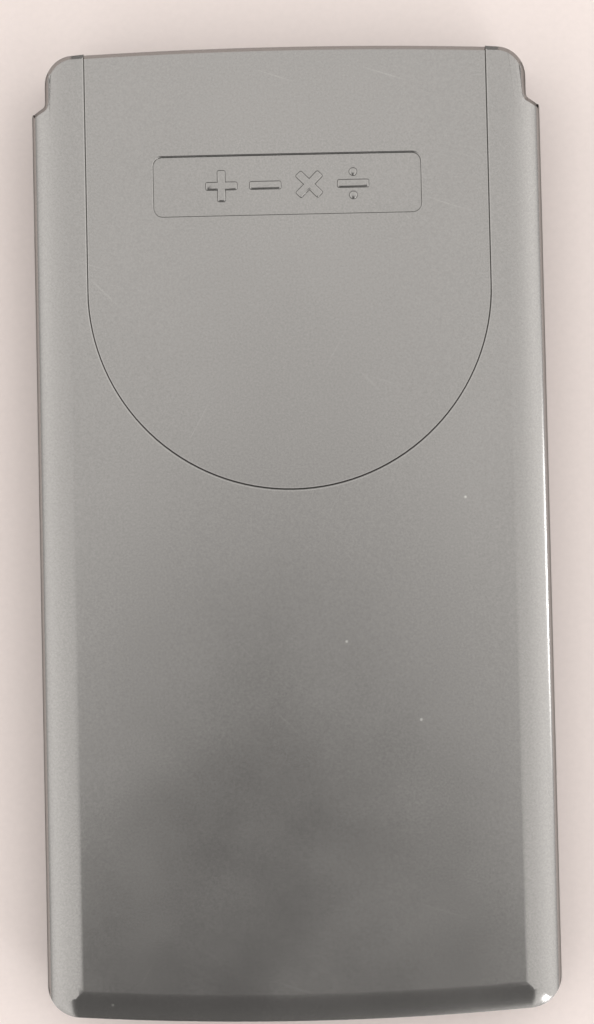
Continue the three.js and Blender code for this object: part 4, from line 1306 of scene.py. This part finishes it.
def screw_blank(name, head_low, head_high, tip, cross, depth):
    """A screw at the origin, its head down: rounded rim, driven slot, stepped shank and a tapered tip."""
    screw = rod(name, 0, 0, head_low, head_high, 1.8 * MM, 40)
    pick(screw, "EDGE", lambda e: middle(e).z < head_low + HAIR)
    round_picked(0.25 * MM, 3)
    pick(screw, "FACE", lambda f: f.normal.z > 0.9)
    bpy.ops.mesh.inset(thickness=0.9 * MM)
    draw_out(0, tip - head_high - 0.8 * MM)
    draw_out(0, 0.8 * MM)
    bpy.ops.transform.resize(value=(0.55, 0.55, 1), center_override=(0, 0, tip))
    leave()
    half = 1.25 * MM
    slot = 0.27 * MM
    cut(screw, block("slot", (-half, -slot, head_low - MM), (half, slot, head_low + depth)))
    if cross:
        cut(screw, block("slot", (-slot, -half, head_low - MM), (slot, half, head_low + depth)))
    return smooth(screw, 40)


class CALC_OT_screws(bpy.types.Operator):
    """Model the four case screws and the battery door's screw"""

    bl_idname = "calc.screws"
    bl_label = "Screws"

    def execute(self, context):
        steel = machined_metal("zinc-plated steel, rolled", "#A9ABAD", 0.34)
        for names, head, cross, depth, body in (
            (CASE_SCREWS, 1.2 * MM, True, 0.6 * MM, "calculator_body"),
            (["battery_door_screw"], 0.6 * MM, False, 0.35 * MM, "battery_door"),
        ):
            low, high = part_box(names[0])
            blank = screw_blank("blank", low.z, low.z + head, high.z, cross, depth)
            for name in names:
                _, _, centre, _ = extent(name)
                screw = copied(blank, f"{name}_steel", centre.x, centre.y)
                finish_piece(screw, steel, body, "screw_steel", name)
            removed(blank)
        return {"FINISHED"}


class CALC_OT_battery(bpy.types.Operator):
    """Model the battery door and the button cell behind it"""

    bl_idname = "calc.battery"
    bl_label = "Battery and door"

    def execute(self, context):
        settings = context.scene.calc_body
        low, high, centre, size = extent("battery_door")
        door = plate("battery_door_plate", centre, size.x, size.y, 0.7 * MM, low.z, high.z, 4)
        pick(door, "EDGE", lambda e: middle(e).z < low.z + HAIR)
        round_picked(0.2 * MM, 2)
        _, _, (x, y, _), _ = extent("battery_door_screw")
        sunk = rod("sunk", x, y, -MM, low.z + 0.9 * MM, 2.0 * MM, 40)
        cut(door, sunk, rod("hole", x, y, -MM, 5 * MM, SCREW_HOLE, 16))
        for rib in range(5):
            y = high.y - 4 * MM - rib * 1.5 * MM
            groove = plate("grip", (centre.x, y), 8 * MM, 0.7 * MM, 0.34 * MM, -MM, low.z + 0.3 * MM, 5)
            cut(door, groove)
        smooth(door)
        name = "ABS door, moulded, coarse spark texture"
        material = moulded_plastic(name, settings.rear_colour, 0.5, 0.5, 0.06)
        finish_piece(door, material, "battery_door", "rear_case_plastic", "battery_door")

        low, high, centre, _ = extent("battery_cell")
        can = rod("button_cell", centre.x, centre.y, low.z, high.z, high.x - centre.x, 64)
        pick(can, "EDGE", lambda e: middle(e).z < low.z + HAIR)
        round_picked(0.5 * MM, 4)
        pick(can, "FACE", lambda f: f.normal.z > 0.9)
        bpy.ops.mesh.inset(thickness=0.5 * MM)
        bpy.ops.mesh.inset(thickness=0.15 * MM, depth=-0.25 * MM)
        bpy.ops.mesh.inset(thickness=0.3 * MM)
        bpy.ops.mesh.inset(thickness=0.15 * MM, depth=0.25 * MM)
        leave()
        pick(can, "FACE", lambda f: f.calc_center_median().z < low.z + HAIR)
        bpy.ops.mesh.inset(thickness=1.2 * MM)
        bpy.ops.mesh.inset(thickness=0.1 * MM, depth=-0.06 * MM)
        leave()
        cross = [
            bar("plus", centre.x, centre.y, across, along_y, low.z + 0.01 * MM, low.z + 0.2 * MM)
            for across, along_y in ((3 * MM, 0.7 * MM), (0.7 * MM, 3 * MM))
        ]
        cut(cross[0], cross[1], operation="UNION")
        can = joined("button_cell", [can, cross[0]])
        smooth(can, 30)
        steel = machined_metal("nickel-plated steel, drawn", "#C9C6BE", 0.24)
        finish_piece(can, steel, "calculator_body", "cell_steel", "battery_cell")
        return {"FINISHED"}


class CALC_OT_inside(bpy.types.Operator):
    """Finish the pieces inside the case that keep the frame's own shapes"""

    bl_idname = "calc.inside"
    bl_label = "Inside"

    def execute(self, context):
        finishes = {
            "keypad_mat": silicone_mat("silicone rubber, compression moulded"),
            "circuit_board": solder_mask("glass-fibre laminate, green solder mask"),
            "chip_blob": poured_epoxy("epoxy, poured over the chip"),
            "lcd_connector": striped_elastomer("zebra strip, layered elastomer"),
            "battery_contact_positive": machined_metal("nickel-plated spring strip", "#C4BFB2", 0.3),
            "battery_contact_negative": machined_metal("nickel-plated spring leaf", "#C4BFB2", 0.3),
        }
        for name, material in finishes.items():
            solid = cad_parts[name]
            solid.data.materials.clear()
            solid.data.materials.append(material)
        return {"FINISHED"}


# ---- The stage ----


class CALC_OT_stage(bpy.types.Operator):
    """Lay the table, and set the light and the camera"""

    bl_idname = "calc.stage"
    bl_label = "Stage"

    def execute(self, context):
        settings = context.scene.calc_stage
        bpy.ops.object.select_all(action="DESELECT")
        bpy.ops.mesh.primitive_plane_add(size=6, location=(0, 0, 0))
        table = settle(bpy.context.object, "table")
        table.data.materials.append(laminate("pale laminate, fine grain", settings))

        world = bpy.data.worlds.new("soft room light")
        context.scene.world = world
        world.use_nodes = True
        room_light(world.node_tree, settings)

        for name, place, size, power, turn in (
            ("window", (0.75, 0.02, 0.20), (0.05, 0.03), 0.25, (0, math.radians(75), 0)),
            ("lamp", (0.45, -0.62, 0.38), (0.16, 0.16), 0.8, None),
        ):
            light = bpy.data.lights.new(name, "AREA")
            light.shape = "RECTANGLE"
            light.size, light.size_y = size
            light.energy = power
            lamp = bpy.data.objects.new(name, light)
            context.scene.collection.objects.link(lamp)
            lamp.location = place
            inwards = (-Vector(place)).to_track_quat("-Z", "Y").to_euler()
            lamp.rotation_euler = Euler(turn) if turn else inwards

        camera = bpy.data.cameras.new("camera")
        camera.sensor_fit = "VERTICAL"
        camera.sensor_height = 36
        distance, view_height = 0.600, 0.1644
        camera.lens = camera.sensor_height * distance / view_height
        camera.clip_start = 0.01
        eye = bpy.data.objects.new("camera", camera)
        context.scene.collection.objects.link(eye)
        aim = Vector((0.0004, 0.0029, COVER_HIGH.z))
        lean = math.radians(3.2)
        eye.location = aim + distance * Vector((0, -math.sin(lean), math.cos(lean)))
        facing = (aim - eye.location).to_track_quat("-Z", "Y").to_matrix()
        eye.rotation_euler = (facing @ Euler((0, 0, math.radians(-1.27))).to_matrix()).to_euler()
        context.scene.camera = eye
        context.scene.view_settings.view_transform = "Standard"
        return {"FINISHED"}


SETTINGS = {
    "calc_cover": CoverSettings,
    "calc_body": BodySettings,
    "calc_keys": KeySettings,
    "calc_stage": StageSettings,
}
CLASSES = (
    *SETTINGS.values(),
    CALC_OT_cover,
    CALC_OT_front_case,
    CALC_OT_rear_case,
    CALC_OT_keys,
    CALC_OT_cursor,
    CALC_OT_deck_print,
    CALC_OT_display,
    CALC_OT_screws,
    CALC_OT_battery,
    CALC_OT_inside,
    CALC_OT_stage,
)


class CALC_PT_panel(bpy.types.Panel):
    """The pieces, one button each"""

    bl_label = "Pocket calculator"
    bl_idname = "CALC_PT_panel"
    bl_space_type = "VIEW_3D"
    bl_region_type = "UI"
    bl_category = "Calculator"

    def draw(self, context):
        for kind in CLASSES:
            if issubclass(kind, bpy.types.Operator):
                self.layout.operator(kind.bl_idname)


def register():
    for kind in (*CLASSES, CALC_PT_panel):
        bpy.utils.register_class(kind)
    for name, kind in SETTINGS.items():
        setattr(bpy.types.Scene, name, PointerProperty(type=kind))


def unregister():
    for name in reversed(SETTINGS):
        delattr(bpy.types.Scene, name)
    for kind in reversed((*CLASSES, CALC_PT_panel)):
        bpy.utils.unregister_class(kind)


def main():
    register()
    bpy.ops.calc.stage()
    bpy.ops.calc.cover()
    bpy.ops.calc.front_case()
    bpy.ops.calc.rear_case()
    bpy.ops.calc.keys()
    bpy.ops.calc.cursor()
    bpy.ops.calc.deck_print()
    bpy.ops.calc.display()
    bpy.ops.calc.screws()
    bpy.ops.calc.battery()
    bpy.ops.calc.inside()


if __name__ == "__main__":
    main()
